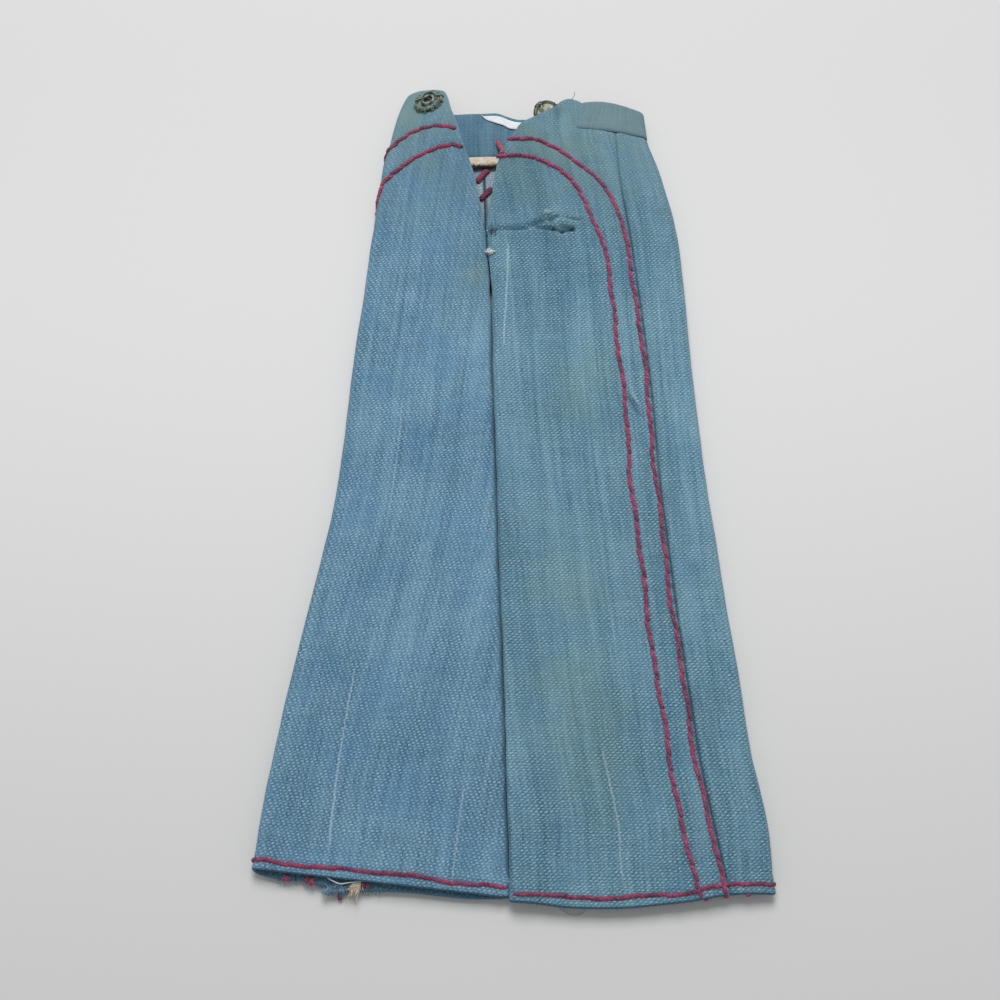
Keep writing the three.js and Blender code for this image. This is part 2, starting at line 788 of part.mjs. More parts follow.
// The hem's stitch row goes round the leg, clear of the other leg
function hemStitch(leg) {
  const steps = 44;
  const route = Array.from({ length: steps + 1 }, (_, i) => {
    const along = THREE.MathUtils.lerp(frontStart, backEnd, i / steps);
    const line = along > sideEdge ? backHemLine : hemLine;
    const y = crossing((height) => legPoint(leg, along, height), (x) => line(leg, x) + hemStitchInset);
    return { point: legPoint(leg, along, y), normal: legNormal(leg, along, y) };
  });
  return threadSolid(route);
}

// A flat strip between two edges across the inside of the back
function insideStrip(left, right, low, high, height, thickness) {
  const steps = 12;
  const grid = Array.from({ length: steps + 1 }, (_, i) => {
    const x = THREE.MathUtils.lerp(left, right, i / steps);
    return [low(x), high(x)].map((y) => new THREE.Vector3(x, y, height));
  });
  return sheetSolid(grid, thickness);
}

const facingHeight = clothThickness + rowLift + layerGap + clothThickness / 2;

function waistFacing() {
  const low = (x) => waistLine(x) - facingDepth;
  const high = (x) => waistLine(x) - seamGap;
  return insideStrip(-facingReachLeft, facingReachRight, low, high, facingHeight, clothThickness);
}

function edgeTape() {
  const high = (x) => waistLine(x) - facingDepth - seamGap;
  const low = (x) => high(x) - edgeTapeDepth;
  const left = -facingReachLeft + edgeTapeInset;
  const right = facingReachRight - edgeTapeInset;
  return insideStrip(left, right, low, high, facingHeight, clothThickness);
}

function waistTape() {
  const high = (x) => waistLine(x) - tapeInset;
  const low = (x) => high(x) - tapeDepth;
  const height = facingHeight + clothThickness / 2 + layerGap + tapeThickness / 2;
  return insideStrip(0, tapeLength, low, high, height, tapeThickness);
}

// Zigzag stitches over the edges of the centre back seam, on the inside
function seamZigzag() {
  const top = waistHeight - facingDepth - edgeTapeDepth - 2 * seamGap - waistDip - threadWidth;
  const route = Array.from({ length: zigzagCount + 1 }, (_, i) => {
    const y = top - (i * zigzagPitch) / 2;
    const x = centreX(y) + ((i % 2 ? 1 : -1) * zigzagWidth) / 2;
    return { point: new THREE.Vector3(x, y, clothThickness / 2), normal: new THREE.Vector3(0, 0, 1) };
  });
  return threadSolid(route);
}

function flyTack() {
  const geometry = new THREE.SphereGeometry(1, roundSides / 2, roundSides / 4);
  geometry.scale(tackWidth / 2, tackLength / 2, tackHeight / 2);
  return geometry;
}

// Manifold solid of a closed three.js geometry, and back again
function toManifold(geometry) {
  const bare = geometry.clone();
  bare.deleteAttribute("normal");
  bare.deleteAttribute("uv");
  const merged = mergeVertices(bare);
  const vertProperties = new Float32Array(merged.attributes.position.array);
  const triVerts = new Uint32Array(merged.index.array);
  return new wasm.Manifold(new wasm.Mesh({ numProp: 3, vertProperties, triVerts }));
}

function fromManifold(solid) {
  const mesh = solid.getMesh();
  return closedGeometry(Array.from(mesh.vertProperties), Array.from(mesh.triVerts));
}

// The four sewing holes of a snap half
function withSewingHoles(geometry) {
  let solid = toManifold(geometry);
  for (let i = 0; i < snapHoleCount; i += 1) {
    const angle = ((i + 0.5) / snapHoleCount) * 2 * Math.PI;
    const tool = new THREE.CylinderGeometry(snapHoleRadius, snapHoleRadius, 4 * snapRimHeight, holeSides);
    tool.rotateX(Math.PI / 2);
    tool.translate(snapHoleCircle * Math.cos(angle), snapHoleCircle * Math.sin(angle), 0);
    solid = solid.subtract(toManifold(tool));
  }
  return fromManifold(solid);
}

// The rolled rim of a snap half, from its foot over to the plate
function rimProfile() {
  const points = [new THREE.Vector2(snapRadius - snapRimWidth / 4, 0)];
  const steps = 4;
  for (let i = 0; i <= steps; i += 1) {
    const angle = (i / steps) * Math.PI;
    const radius = snapRadius - snapRimWidth / 2 + (snapRimWidth / 2) * Math.cos(angle);
    const height = snapRimHeight - snapRimWidth / 2 + (snapRimWidth / 2) * Math.sin(angle);
    points.push(new THREE.Vector2(radius, height));
  }
  points.push(new THREE.Vector2(snapRadius - snapRimWidth, snapPlate));
  return points;
}

function lathe(points) {
  const geometry = new THREE.LatheGeometry(points, roundSides);
  geometry.rotateX(Math.PI / 2);
  return geometry;
}

function snapSocket() {
  const profile = [
    new THREE.Vector2(socketBore, 0),
    ...rimProfile(),
    new THREE.Vector2(socketBossRadius + snapPlate / 2, snapPlate),
    new THREE.Vector2(socketBossRadius, socketBossHeight - snapPlate / 2),
    new THREE.Vector2(socketBossRadius - snapPlate / 2, socketBossHeight),
    new THREE.Vector2(socketBore, socketBossHeight),
    new THREE.Vector2(socketBore, 0),
  ];
  return withSewingHoles(lathe(profile));
}

// The socket's wire spring, bent like a hairpin, which grips the ball's neck
function snapSpring() {
  const points = [];
  const bendSteps = 6;
  points.push(new THREE.Vector3(-springGrip / 2, -springGrip, 0));
  for (let i = 0; i <= bendSteps; i += 1) {
    const angle = (i / bendSteps) * Math.PI - Math.PI / 2;
    points.push(new THREE.Vector3(springGrip * Math.cos(angle), springGrip * Math.sin(angle), 0));
  }
  points.push(new THREE.Vector3(-springGrip / 2, springGrip, 0));
  const wire = new THREE.Shape();
  wire.absarc(0, 0, springWire, 0, 2 * Math.PI);
  const path = new THREE.CatmullRomCurve3(points);
  const geometry = new THREE.ExtrudeGeometry(wire, { steps: 12, extrudePath: path, curveSegments: 3 });
  geometry.translate(0, 0, socketBossHeight / 2);
  return geometry;
}

// The ball half: a dished plate whose stud stands on the side away from the cloth
function snapBall() {
  const waist = Math.asin(ballNeck / ballRadius);
  const ballCentre = snapPlate + ballNeckHeight + ballRadius * Math.cos(waist);
  const profile = [
    new THREE.Vector2(0, ballDimple),
    new THREE.Vector2(ballNeck, ballDimple / 2),
    new THREE.Vector2(ballRadius, 0),
    ...rimProfile(),
    new THREE.Vector2(ballNeck + snapPlate, snapPlate),
  ];
  const steps = 6;
  for (let i = 0; i < steps; i += 1) {
    const angle = THREE.MathUtils.lerp(Math.PI - waist, 0, i / steps);
    profile.push(new THREE.Vector2(ballRadius * Math.sin(angle), ballCentre + ballRadius * Math.cos(angle)));
  }
  profile.push(new THREE.Vector2(0, ballCentre + ballRadius));
  return withSewingHoles(lathe(profile));
}

// One sewing stitch over a snap's rim, from its hole to just above the cloth
function snapStitch() {
  const clear = sewingThread / 2 + seamGap;
  const out = snapRadius + clear;
  const over = snapRimHeight + clear;
  const path = new THREE.CatmullRomCurve3([
    new THREE.Vector3(snapHoleCircle, 0, snapPlate + clear),
    new THREE.Vector3(snapHoleCircle + clear / 2, 0, over),
    new THREE.Vector3((snapHoleCircle + out) / 2, 0, over + stitchRise),
    new THREE.Vector3(out, 0, over),
    new THREE.Vector3(out, 0, sewingThread / 2),
  ]);
  const section = new THREE.Shape();
  section.absarc(0, 0, sewingThread / 2, 0, 2 * Math.PI);
  return new THREE.ExtrudeGeometry(section, { steps: 9, extrudePath: path, curveSegments: 3 });
}

// Colours and surfaces
function cloth(colour) {
  return new THREE.MeshStandardMaterial({ color: colour, roughness: 0.92, metalness: 0 });
}

function metal(colour) {
  return new THREE.MeshStandardMaterial({ color: colour, roughness: 0.45, metalness: 0.9 });
}

const denim = "#7397ae";
const denimInside = "#93a9b7";
const redThread = "#b3234f";
const creamEdge = "#d8d0c0";
const whiteTape = "#eef0f0";
const greenThread = "#3d4740";
const darkSteel = "#6d716c";
const brass = "#a08a4e";

const trousers = new THREE.Group();

function add(parent, name, geometry, material) {
  const mesh = new THREE.Mesh(geometry, material);
  mesh.name = name;
  parent.add(mesh);
  return mesh;
}

function addRow(flap, name, row) {
  const parts = rowParts(flap, row);
  add(trousers, name, threadSolid(parts.onLeg), cloth(redThread));
  add(trousers, `${name}_flap`, threadSolid(parts.onFlap), cloth(redThread));
}

// A group that stands on a flap, with its own +Z along the flap's outward or inward normal
function onFlap(flap, plan, facing) {
  const normal = flapNormal(flap).multiplyScalar(facing);
  const group = new THREE.Group();
  const lift = clothThickness / 2 + layerGap;
  group.position.set(plan.x, plan.y, flapHeight(flap, plan.x, plan.y)).addScaledVector(normal, lift);
  group.quaternion.setFromUnitVectors(new THREE.Vector3(0, 0, 1), normal);
  trousers.add(group);
  return group;
}

function addStitches(group, name, colour) {
  for (let i = 0; i < snapHoleCount; i += 1) {
    const mesh = add(group, `${name}_${i + 1}`, snapStitch(), cloth(colour));
    mesh.rotation.z = ((i + 0.5) / snapHoleCount) * 2 * Math.PI;
  }
}

add(trousers, "front_panel_left", frontPanelLeft(), cloth(denim));
add(trousers, "front_panel_right", frontPanelRight(), cloth(denim));
add(trousers, "back_panel_left", backPanelLeft(), cloth(denim));
add(trousers, "back_panel_right", backPanelRight(), cloth(denim));
add(trousers, "fly_flap_left", flapSolid(leftFlap), cloth(denim));
add(trousers, "fly_flap_right", flapSolid(rightFlap), cloth(denim));
add(trousers, "waistband", waistband(), cloth(denim));
add(trousers, "waist_facing", waistFacing(), cloth(denimInside));
add(trousers, "facing_edge_tape", edgeTape(), cloth(creamEdge));
add(trousers, "waist_tape", waistTape(), cloth(whiteTape));
add(trousers, "back_seam_zigzag", seamZigzag(), cloth(redThread));
add(trousers, "hem_stitch_left", hemStitch(leftLeg), cloth(redThread));
add(trousers, "hem_stitch_right", hemStitch(rightLeg), cloth(redThread));

// A pair of rows: the inner one lies inside the outer one all the way
function addRows(flap, side, shape) {
  const { level, drop, startX, startStep, squareness } = shape;
  const outer = { fromSeam: rowInset, level, fall: pocketFall, startX, squareness };
  const inner = {
    fromSeam: rowInset + rowSpacing,
    level: level - drop,
    fall: pocketFall - drop,
    startX: startX + startStep,
    squareness,
  };
  addRow(flap, `outer_row_${side}`, outer);
  addRow(flap, `inner_row_${side}`, inner);
}

addRows(rightFlap, "right", {
  level: waistHeight - pocketTop,
  drop: innerDropRight,
  startX: flyFoot.x + rowStartRight,
  startStep: -rowStartStep,
  squareness: rowSquarenessRight,
});
addRows(leftFlap, "left", {
  level: waistHeight - pocketTopLeft,
  drop: innerDropLeft,
  startX: flyFoot.x - rowStartLeft,
  startStep: rowStartStep / 2,
  squareness: rowSquarenessLeft,
});

const tack = add(trousers, "fly_tack", flyTack(), cloth(whiteTape));
const tackY = flyFoot.y - tackLength / 2 - seamGap;
const tackLift = seatLoft + innerEdgeRise + clothThickness / 2 + layerGap + tackHeight / 2;
tack.position.set(centreX(tackY), tackY, tackLift);

const leftAlong = foldDirection(leftLeg);
const leftSquare = new THREE.Vector2(leftAlong.y, -leftAlong.x);
const socketPlan = foldTop(leftLeg)
  .addScaledVector(leftAlong, leftFlapOverrun - socketFromTop)
  .addScaledVector(leftSquare, socketFromFold);
const socketGroup = onFlap(leftFlap, socketPlan, 1);
add(socketGroup, "snap_socket", snapSocket(), metal(darkSteel));
add(socketGroup, "snap_spring", snapSpring(), metal(darkSteel));
addStitches(socketGroup, "snap_socket_stitch", greenThread);

const rightTopEdge = foldTop(rightLeg).sub(rightFlap.edge).normalize();
const ballPlan = rightFlap.edge
  .clone()
  .addScaledVector(rightTopEdge, ballFromEdge)
  .addScaledVector(new THREE.Vector2(-rightTopEdge.y, rightTopEdge.x), ballAboveEdge);
const ballGroup = onFlap(rightFlap, ballPlan, -1);
add(ballGroup, "snap_ball", snapBall(), metal(brass));
addStitches(ballGroup, "snap_ball_stitch", greenThread);

// The part's own frame: the origin is the middle of the underside
const box = new THREE.Box3().setFromObject(trousers, true);
const middle = box.getCenter(new THREE.Vector3());
trousers.position.set(-middle.x, -middle.y, -box.min.z);

const model = new THREE.Group();
model.add(trousers);

export default model;
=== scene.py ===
import json
import math
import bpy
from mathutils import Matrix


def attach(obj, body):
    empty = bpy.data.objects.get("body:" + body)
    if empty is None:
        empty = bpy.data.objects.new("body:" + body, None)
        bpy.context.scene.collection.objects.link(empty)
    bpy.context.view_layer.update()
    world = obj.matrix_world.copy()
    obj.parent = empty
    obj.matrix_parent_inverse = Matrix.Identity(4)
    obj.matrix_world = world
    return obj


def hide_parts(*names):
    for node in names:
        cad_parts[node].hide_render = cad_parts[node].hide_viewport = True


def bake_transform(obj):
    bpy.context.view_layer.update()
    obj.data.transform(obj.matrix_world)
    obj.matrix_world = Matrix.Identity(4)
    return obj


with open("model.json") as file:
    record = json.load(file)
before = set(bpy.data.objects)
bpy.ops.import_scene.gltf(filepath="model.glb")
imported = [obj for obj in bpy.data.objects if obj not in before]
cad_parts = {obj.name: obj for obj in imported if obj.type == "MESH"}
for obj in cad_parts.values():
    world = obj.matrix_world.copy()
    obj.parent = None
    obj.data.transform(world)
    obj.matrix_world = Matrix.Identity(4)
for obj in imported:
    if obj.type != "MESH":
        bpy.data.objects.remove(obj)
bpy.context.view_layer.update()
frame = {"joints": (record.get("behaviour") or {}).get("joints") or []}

from types import SimpleNamespace

import bmesh
import bpy
import numpy as np
from mathutils import Vector

# A fashion doll's flared denim trousers, lying flat with the front up and the fly open.
# Sizes are millimetres in the trousers' own coordinates: x from the fly line, y up from the lowest hem
# and z up from the table. Left and right are the viewer's.
MM = 0.001
FRAME_FLY = (-2.3, 135, 3.5)  # the foot of the fly, where both joints are
SHIFT = np.array(frame["joints"][0]["pos_m"]) - np.array(FRAME_FLY) * MM

# The camera comes before the pieces
PICTURE_WIDTH = 1000
FOCAL = 1456
SENSOR = 36
AIM = (0, 78.3, 2)
ELEVATION = math.radians(70)
DISTANCE = 291.2


def to_frame(point):
    return Vector(np.asarray(point, float) * MM + SHIFT)


def link_object(name, data):
    made = bpy.data.objects.new(name, data)
    bpy.context.scene.collection.objects.link(made)
    return made


def make_camera():
    data = bpy.data.cameras.new("camera")
    data.sensor_width = SENSOR
    data.lens = FOCAL / PICTURE_WIDTH * SENSOR
    data.clip_start = 0.01
    camera = link_object("camera", data)
    back = Vector((0, -math.cos(ELEVATION), math.sin(ELEVATION))) * DISTANCE * MM
    camera.location = to_frame(AIM) + back
    camera.rotation_euler = (-back).to_track_quat("-Z", "Y").to_euler()
    bpy.context.scene.camera = camera


make_camera()

# Cloth, tape and thread
CLOTH = 0.4
BAND = 0.6
BAND_LAYER = 0.28
TAPE = 0.25
SEAM_GAP = 0.3
LAYER_GAP = 0.3
THREAD = 0.44  # half the width of a row's stitch
STITCH = 2.9  # length of a row's stitch
HEM_STITCH = 4.6

# Lengths of the stretches of a leg, from the hem up to the waist
STRETCHES = (27, 51, 26, 32, 17, 17)
STATIONS = np.concatenate(([0], np.cumsum(STRETCHES)))
WAIST = STATIONS[-1]
LEFT_REACH = (46.0, 42.8, 33.2, 30.7, 27.5, 25.6, 22.5)
RIGHT_REACH = (50.3, 47.4, 41.9, 39.8, 38.1, 35.1, 31.8)
RIGHT_WRAP = (8.2, 10, 9.6, 8.9, 10.2, 9.3, 6.8)
LEFT_WRAP = 8

# The line between the legs leans a little
CENTRE_AT_HEM = 1.9
CENTRE_AT_FLY = -2.3
FLY_LENGTH = 35
FLY_FOOT_Y = WAIST - FLY_LENGTH
CROTCH_Y = WAIST - 47
CROTCH_BLEND = 4

# Height of the front's middle surface above the table
LOFTS = (2.8, 3, 3.3)
LOFT_PLACES = (0, 78, FLY_FOOT_Y)
INNER_RISE = 0.35
INNER_RISE_WIDTH = 9
RIGHT_WAIST_RISE = 1.9

# The folds at the side edges and at the inner edges
SIDE_FOLD = 1.6
INNER_FOLD = 1
INNER_ROUND = 1.9  # length of cloth round half an inner fold
INNER_GAP = 0.12
SIDE_SQUARENESS = 2.2
INNER_SQUARENESS = 2.8
ROW_LIFT = 0.75
HEM_LIFT_LENGTH = 6
SIDE_LIFT_WIDTH = 10.5
SIDE_LIFT_BLEND = 4

# Hems
# Places across the left leg and how far the back hem shows below the front one there
LEFT_PEEK = (
    (-46.5, 0.2), (-43, 0.95), (-40, 1.15), (-36, 0.95), (-34, 1.2), (-32.2, 1.7), (-29.5, 2.0),
    (-27, 1.9), (-25.3, 1.7), (-22, 1.35), (-16, 1.0), (-6, 0.9), (0, 0.3),
)
# Heights of the front hems from the inner edge outwards
LEFT_HEM = ((0, 1.6), (46, 6.6))
RIGHT_HEM = (
    (0, 0.8), (6, 0.45), (12, -0.25), (18, -0.45), (24, -0.3), (30, 0.3), (34, 0.7), (37.2, 1.2),
    (40.8, 1.8), (44.3, 2.1), (47.8, 2.1), (50.6, 2.0),
)
HEM_INSET = 1.6
HEM_DEPTH = 3.1  # of the turned-up cloth
HEM_ROUND = 0.24
# Painted shade: the cloth turned up inside the hems is darkened as if it lay in shadow
HEM_TURNED_SHADE = -0.75

# Waist and band
BAND_DEPTH = 6
WAIST_DIP = 1.7
BACK_SAG = 1.8
FACING_DEPTH = 11.6
FACING_LEFT = 15
FACING_RIGHT = 24
EDGE_TAPE_DEPTH = 2
EDGE_TAPE_INSET = 2
TAPE_LENGTH = 9
TAPE_BELOW_WAIST = 0.95
TAPE_LOWER_EDGE = (
    (-4.3, 169.1), (-3.4, 168.0), (-2.2, 167.3), (-0.7, 166.7), (0.8, 166.2), (2.2, 165.4), (9, 164.6),
)
FACING_HEIGHT = CLOTH + ROW_LIFT + LAYER_GAP + CLOTH / 2

# Fly and its two flaps
FOLD_ROUND = 1.2
FLAP_LIFT_SPAN = (120, 134)
DROOP_START = WAIST - 3.2  # above this the left flap curls down over its own top
DROOP_ROUND = 1.5
FLAP_CORNER = WAIST - 0.4  # the left side edge's top
CRUMPLE_PLACE = (13, 5.5)  # from the foot of the fly
CRUMPLE_REACH = (7.5, 5)
# The flaps' free and top edges in plan, from the foot of the fly to the side edge or to the fold's end
LEFT_TOP = (
    (-2.9, 136.8), (-3.6, 141), (-4.4, 146), (-5.7, 152.4), (-7.9, 159.3), (-9.4, 164.6), (-10.6, 167.8),
    (-11.6, 172.4), (-12.9, 174.8), (-16.9, 175.9), (-20.3, 175.4), (-21.7, 173.6), (-22.1, 170.9),
)
RIGHT_TOP = (
    (-2.9, 137), (-2.7, 141.5), (-2.0, 145), (-0.9, 152.6), (0.2, 156), (2.3, 160.2), (4.6, 163.8),
    (7.6, 165.8), (11.7, 168.45), (13.5, 169.9), (15.2, 170.6), (16.9, 170.3),
)

# Double rows of topstitching. Their bends start where the rows are upright, and the places are
# distances round the leg from the side edge and heights.
ROW_INSET = 0.9
ROW_SPACING = 4.9
ROW_STEP = 0.25
RIGHT_OUTER = (
    (12, 131), (12.2, 137), (12.3, 142.5), (13.8, 148.8), (16.8, 153.8), (20.9, 157.9), (25.5, 160.0),
    (32.4, 159.7),
)
RIGHT_INNER = (
    (16.9, 131), (17.2, 137.5), (18.5, 143.8), (20.4, 150.4), (23.4, 154.2), (28.3, 155.8), (36.2, 155.6),
)
LEFT_OUTER = (
    (-7.5, 139), (-6.9, 147), (-4.0, 153.7), (0.0, 157.9), (3.6, 162.0), (7.4, 164.3), (11.2, 164.4),
    (15.4, 162.9),
)
LEFT_INNER = (
    (-2.6, 134), (-1.9, 140), (0.0, 145.8), (2.0, 151.6), (5.3, 155.8), (9.2, 158.5), (13.7, 159.3),
    (17.4, 158.5),
)

# Snap fastener
SNAP_RADIUS = 3.1
RIM_HEIGHT = 0.55
RIM_WIDTH = 0.4
PLATE = 0.25
HOLE_CIRCLE = 2.15
HOLE_RADIUS = 0.36
HOLES = 4
BOSS_HEIGHT = 1
SPRING_WIRE = 0.13
BALL_RADIUS = 0.65
BALL_NECK = 0.45
BALL_NECK_HEIGHT = 0.05
SPRING_GRIP = BALL_NECK + SPRING_WIRE
SOCKET_BORE = SPRING_GRIP + SPRING_WIRE + SEAM_GAP
SOCKET_BOSS = SOCKET_BORE + 0.55
SOCKET_PLAN = (-15.55, 171.0)
BALL_PLAN = (10.5, 167.0)
LATHE_SEGMENTS = 72

# How finely the surfaces are divided
CELL = 0.62
SLIGHT = 0.01
FULL_TURN = 2 * math.pi


def smooth(value, start, end):
    share = np.clip((value - start) / (end - start), 0, 1)
    return share * share * (3 - 2 * share)


def fade(value, start, end):
    return 1 - smooth(value, start, end)


def lerp(start, end, share):
    return start + (end - start) * share


def bump(distance, width):
    """1 on a line and falling to nothing a few widths away"""
    return np.exp(-((distance / width) ** 2))


def stack(*parts):
    return np.stack(parts, axis=-1)


def unit(vectors):
    return vectors / np.maximum(np.linalg.norm(vectors, axis=-1, keepdims=True), 1e-9)


def curve_through(places, values):
    """A smooth curve through values given at rising places"""
    places = np.array(places, float)
    values = np.array(values, float)
    last = len(places) - 1
    before = np.maximum(np.arange(last + 1) - 1, 0)
    after = np.minimum(np.arange(last + 1) + 1, last)
    slopes = (values[after] - values[before]) / (places[after] - places[before])

    def curve(place):
        place = np.asarray(place, float)
        i = np.searchsorted(places[1:-1], place, side="left")
        span = places[i + 1] - places[i]
        t = np.clip((place - places[i]) / span, 0, 1)
        beyond = place - np.clip(place, places[0], places[last])
        edge_slope = np.where(beyond < 0, slopes[0], slopes[last])
        start = (1 + 2 * t) * (1 - t) ** 2 * values[i] + t * (1 - t) ** 2 * span * slopes[i]
        end = t**2 * (3 - 2 * t) * values[i + 1] + t**2 * (t - 1) * span * slopes[i + 1]
        return start + end + beyond * edge_slope

    return curve


def path_through(points, places, fine):
    """Points on a smooth path through the given ones, which lie at the given places along it"""
    return stack(*(curve_through(places, column)(fine) for column in np.array(points, float).T))


def waves(seed, shortest, longest, count=14):
    """A smooth random surface made of a few long waves, about 1 high"""
    chance = np.random.RandomState(seed)
    lengths = chance.uniform(shortest, longest, count)
    angles = chance.uniform(0, math.pi, count)
    phases = chance.uniform(0, FULL_TURN, count)

    def surface(u, v):
        total = 0
        for length, angle, phase in zip(lengths, angles, phases):
            along = u * math.cos(angle) + v * math.sin(angle)
            total = total + np.cos(FULL_TURN * along / length + phase)
        return total / math.sqrt(count)

    return surface


def right_curve(values):
    """A curve up the right side, drawn in below the waist and flared a little more above the hem"""
    curve = curve_through(STATIONS, values)
    return lambda y: curve(y) + 0.8 * bump(y - 14, 9) - 0.9 * bump(y - 161, 6)


def centre_x(y):
    return lerp(CENTRE_AT_HEM, CENTRE_AT_FLY, y / FLY_FOOT_Y) - 0.6 * smooth(y, 126, 138)


def waist_line(x):
    middle = (RIGHT_REACH[-1] - LEFT_REACH[-1]) / 2
    half = (RIGHT_REACH[-1] + LEFT_REACH[-1]) / 2
    return WAIST - WAIST_DIP * ((x - middle) / half) ** 2


def band_line(x):
    return waist_line(x) - BAND_DEPTH


def back_waist(x):
    """Between the flaps the waist's back edge sags"""
    return waist_line(x) - BACK_SAG * smooth(x, -1.4, 4.4) * fade(x, 10, 18)


FLY_FOOT = np.array([CENTRE_AT_FLY, FLY_FOOT_Y])
loft = curve_through(LOFT_PLACES, LOFTS)

left_leg = SimpleNamespace(
    name="left",
    side=-1,
    reach=curve_through(STATIONS, LEFT_REACH),
    wrap=lambda y: LEFT_WRAP + 0 * np.asarray(y, float),
    inner_rise=-INNER_RISE,
    fold_run=18,
    waist_rise=0,
    side_lift=ROW_LIFT,
    hem=curve_through(*zip(*LEFT_HEM)),
    peek=curve_through(*zip(*LEFT_PEEK)),
    crumple=0,
    droop=0.48,
    tilt=math.radians(19),
    top_edge=LEFT_TOP,
    long_waves=waves(11, 22, 60),
    short_waves=waves(12, 5, 11),
    crowding=0,
    edge_shade=1,
    snap_rest=(*SOCKET_PLAN, 1),
)

right_leg = SimpleNamespace(
    name="right",
    side=1,
    reach=right_curve(RIGHT_REACH),
    wrap=right_curve(RIGHT_WRAP),
    inner_rise=INNER_RISE,
    fold_run=19,
    waist_rise=RIGHT_WAIST_RISE,
    side_lift=0,
    hem=curve_through(*zip(*RIGHT_HEM)),
    peek=lambda x: 0 * x,
    crumple=0.7,
    droop=0,
    tilt=math.radians(11.5),
    top_edge=RIGHT_TOP,
    long_waves=waves(21, 22, 60),
    short_waves=waves(22, 5, 11),
    crowding=4,
    edge_shade=0,
    snap_rest=(*BALL_PLAN, -1),
)


def fold_top(leg):
    x = FLY_FOOT[0] + leg.side * leg.fold_run
    return np.array([x, waist_line(x)])


def fold_direction(leg):
    return unit(fold_top(leg) - FLY_FOOT)


def fold_square(leg):
    """The direction in plan across the fold line, towards the flap"""
    along = fold_direction(leg)
    return np.array([-along[1], along[0]]) * leg.side


def fold_x(leg, y):
    top = fold_top(leg)
    return FLY_FOOT[0] + (top[0] - FLY_FOOT[0]) * (y - FLY_FOOT[1]) / (top[1] - FLY_FOOT[1])


def from_fold(leg, x, y):
    """Distance in plan from the fold line, positive on the flap's side"""
    square = fold_square(leg)
    return square[0] * (x - FLY_FOOT[0]) + square[1] * (y - FLY_FOOT[1])


def front_height(leg, x, y):
    """Middle surface of the front and of its flap"""
    below_fly = smooth(FLY_FOOT_Y - y, 0, CROTCH_BLEND)
    from_centre = np.abs(x - centre_x(y))
    edge = leg.inner_rise * below_fly * fade(from_centre, 0, INNER_RISE_WIDTH)
    outer = leg.reach(y) - SIDE_FOLD
    start = leg.side * fold_x(leg, np.maximum(y, FLY_FOOT_Y))
    share = np.clip((leg.side * x - start) / (outer - start), 0, 1)
    climb = np.maximum(0, (y - FLY_FOOT[1]) / (fold_top(leg)[1] - FLY_FOOT[1]))
    waist = leg.waist_rise * climb * (1 - share**2)
    past = from_fold(leg, x, y)
    lift = math.tan(leg.tilt) * (past + np.sqrt(past**2 + FOLD_ROUND**2)) / 2
    across = np.clip((x - FLY_FOOT[0] - CRUMPLE_PLACE[0]) / CRUMPLE_REACH[0], -1, 1)
    up = np.clip((y - FLY_FOOT[1] - CRUMPLE_PLACE[1]) / CRUMPLE_REACH[1], -1, 1)
    ridge = leg.crumple * np.cos(across * math.pi / 2) * np.cos(up * math.pi / 2) ** 2
    over = y - DROOP_START
    droop = leg.droop * (over + np.sqrt(over**2 + DROOP_ROUND**2) - DROOP_ROUND * 0.35) / 2
    level = loft(np.minimum(y, FLY_FOOT_Y)) + edge + waist + ridge
    return level + lift * smooth(y, *FLAP_LIFT_SPAN) - np.maximum(droop, 0)


def hem_line(leg, x):
    return leg.hem(np.clip(leg.side * x, 0, leg.reach(0)))


def back_hem_line(leg, x):
    return hem_line(leg, x) - leg.peek(x)


def hem_at(leg, along, x):
    """The hem's edge; round the side fold the front's hem becomes the back's"""
    return lerp(hem_line(leg, x), back_hem_line(leg, x), smooth(along, 2.2, 2.8))


def back_height(leg, x, y):
    from_edge = leg.reach(y) - leg.side * x
    below_band = fade(y, WAIST - 2 * BAND_DEPTH, WAIST - BAND_DEPTH - WAIST_DIP)
    near_side = fade(from_edge, SIDE_LIFT_WIDTH, SIDE_LIFT_WIDTH + SIDE_LIFT_BLEND)
    side = leg.side_lift * below_band * near_side
    hem = ROW_LIFT * fade(y - hem_line(leg, x), HEM_LIFT_LENGTH, 2 * HEM_LIFT_LENGTH)
    return CLOTH / 2 + np.maximum(side, hem)


def fold_point(edge, side, reach, squareness, top, bottom, turn):
    """A point of a fold: turn is 1 at its top, 0 at its outermost point and -1 at its bottom"""
    angle = turn * math.pi / 2
    across = np.abs(np.cos(angle)) ** (2 / squareness)
    up = np.sign(turn) * np.abs(np.sin(angle)) ** (2 / squareness)
    return edge - side * reach * (1 - across), (top + bottom) / 2 + (top - bottom) / 2 * up


def leg_edges(leg, y):
    """Where the inner and the side fold have their outermost point and where the flat stretch starts"""
    inner = centre_x(y) + leg.side * INNER_GAP
    outer = leg.side * (leg.reach(y) - CLOTH / 2)
    return inner, inner + leg.side * INNER_FOLD, outer - leg.side * SIDE_FOLD, outer


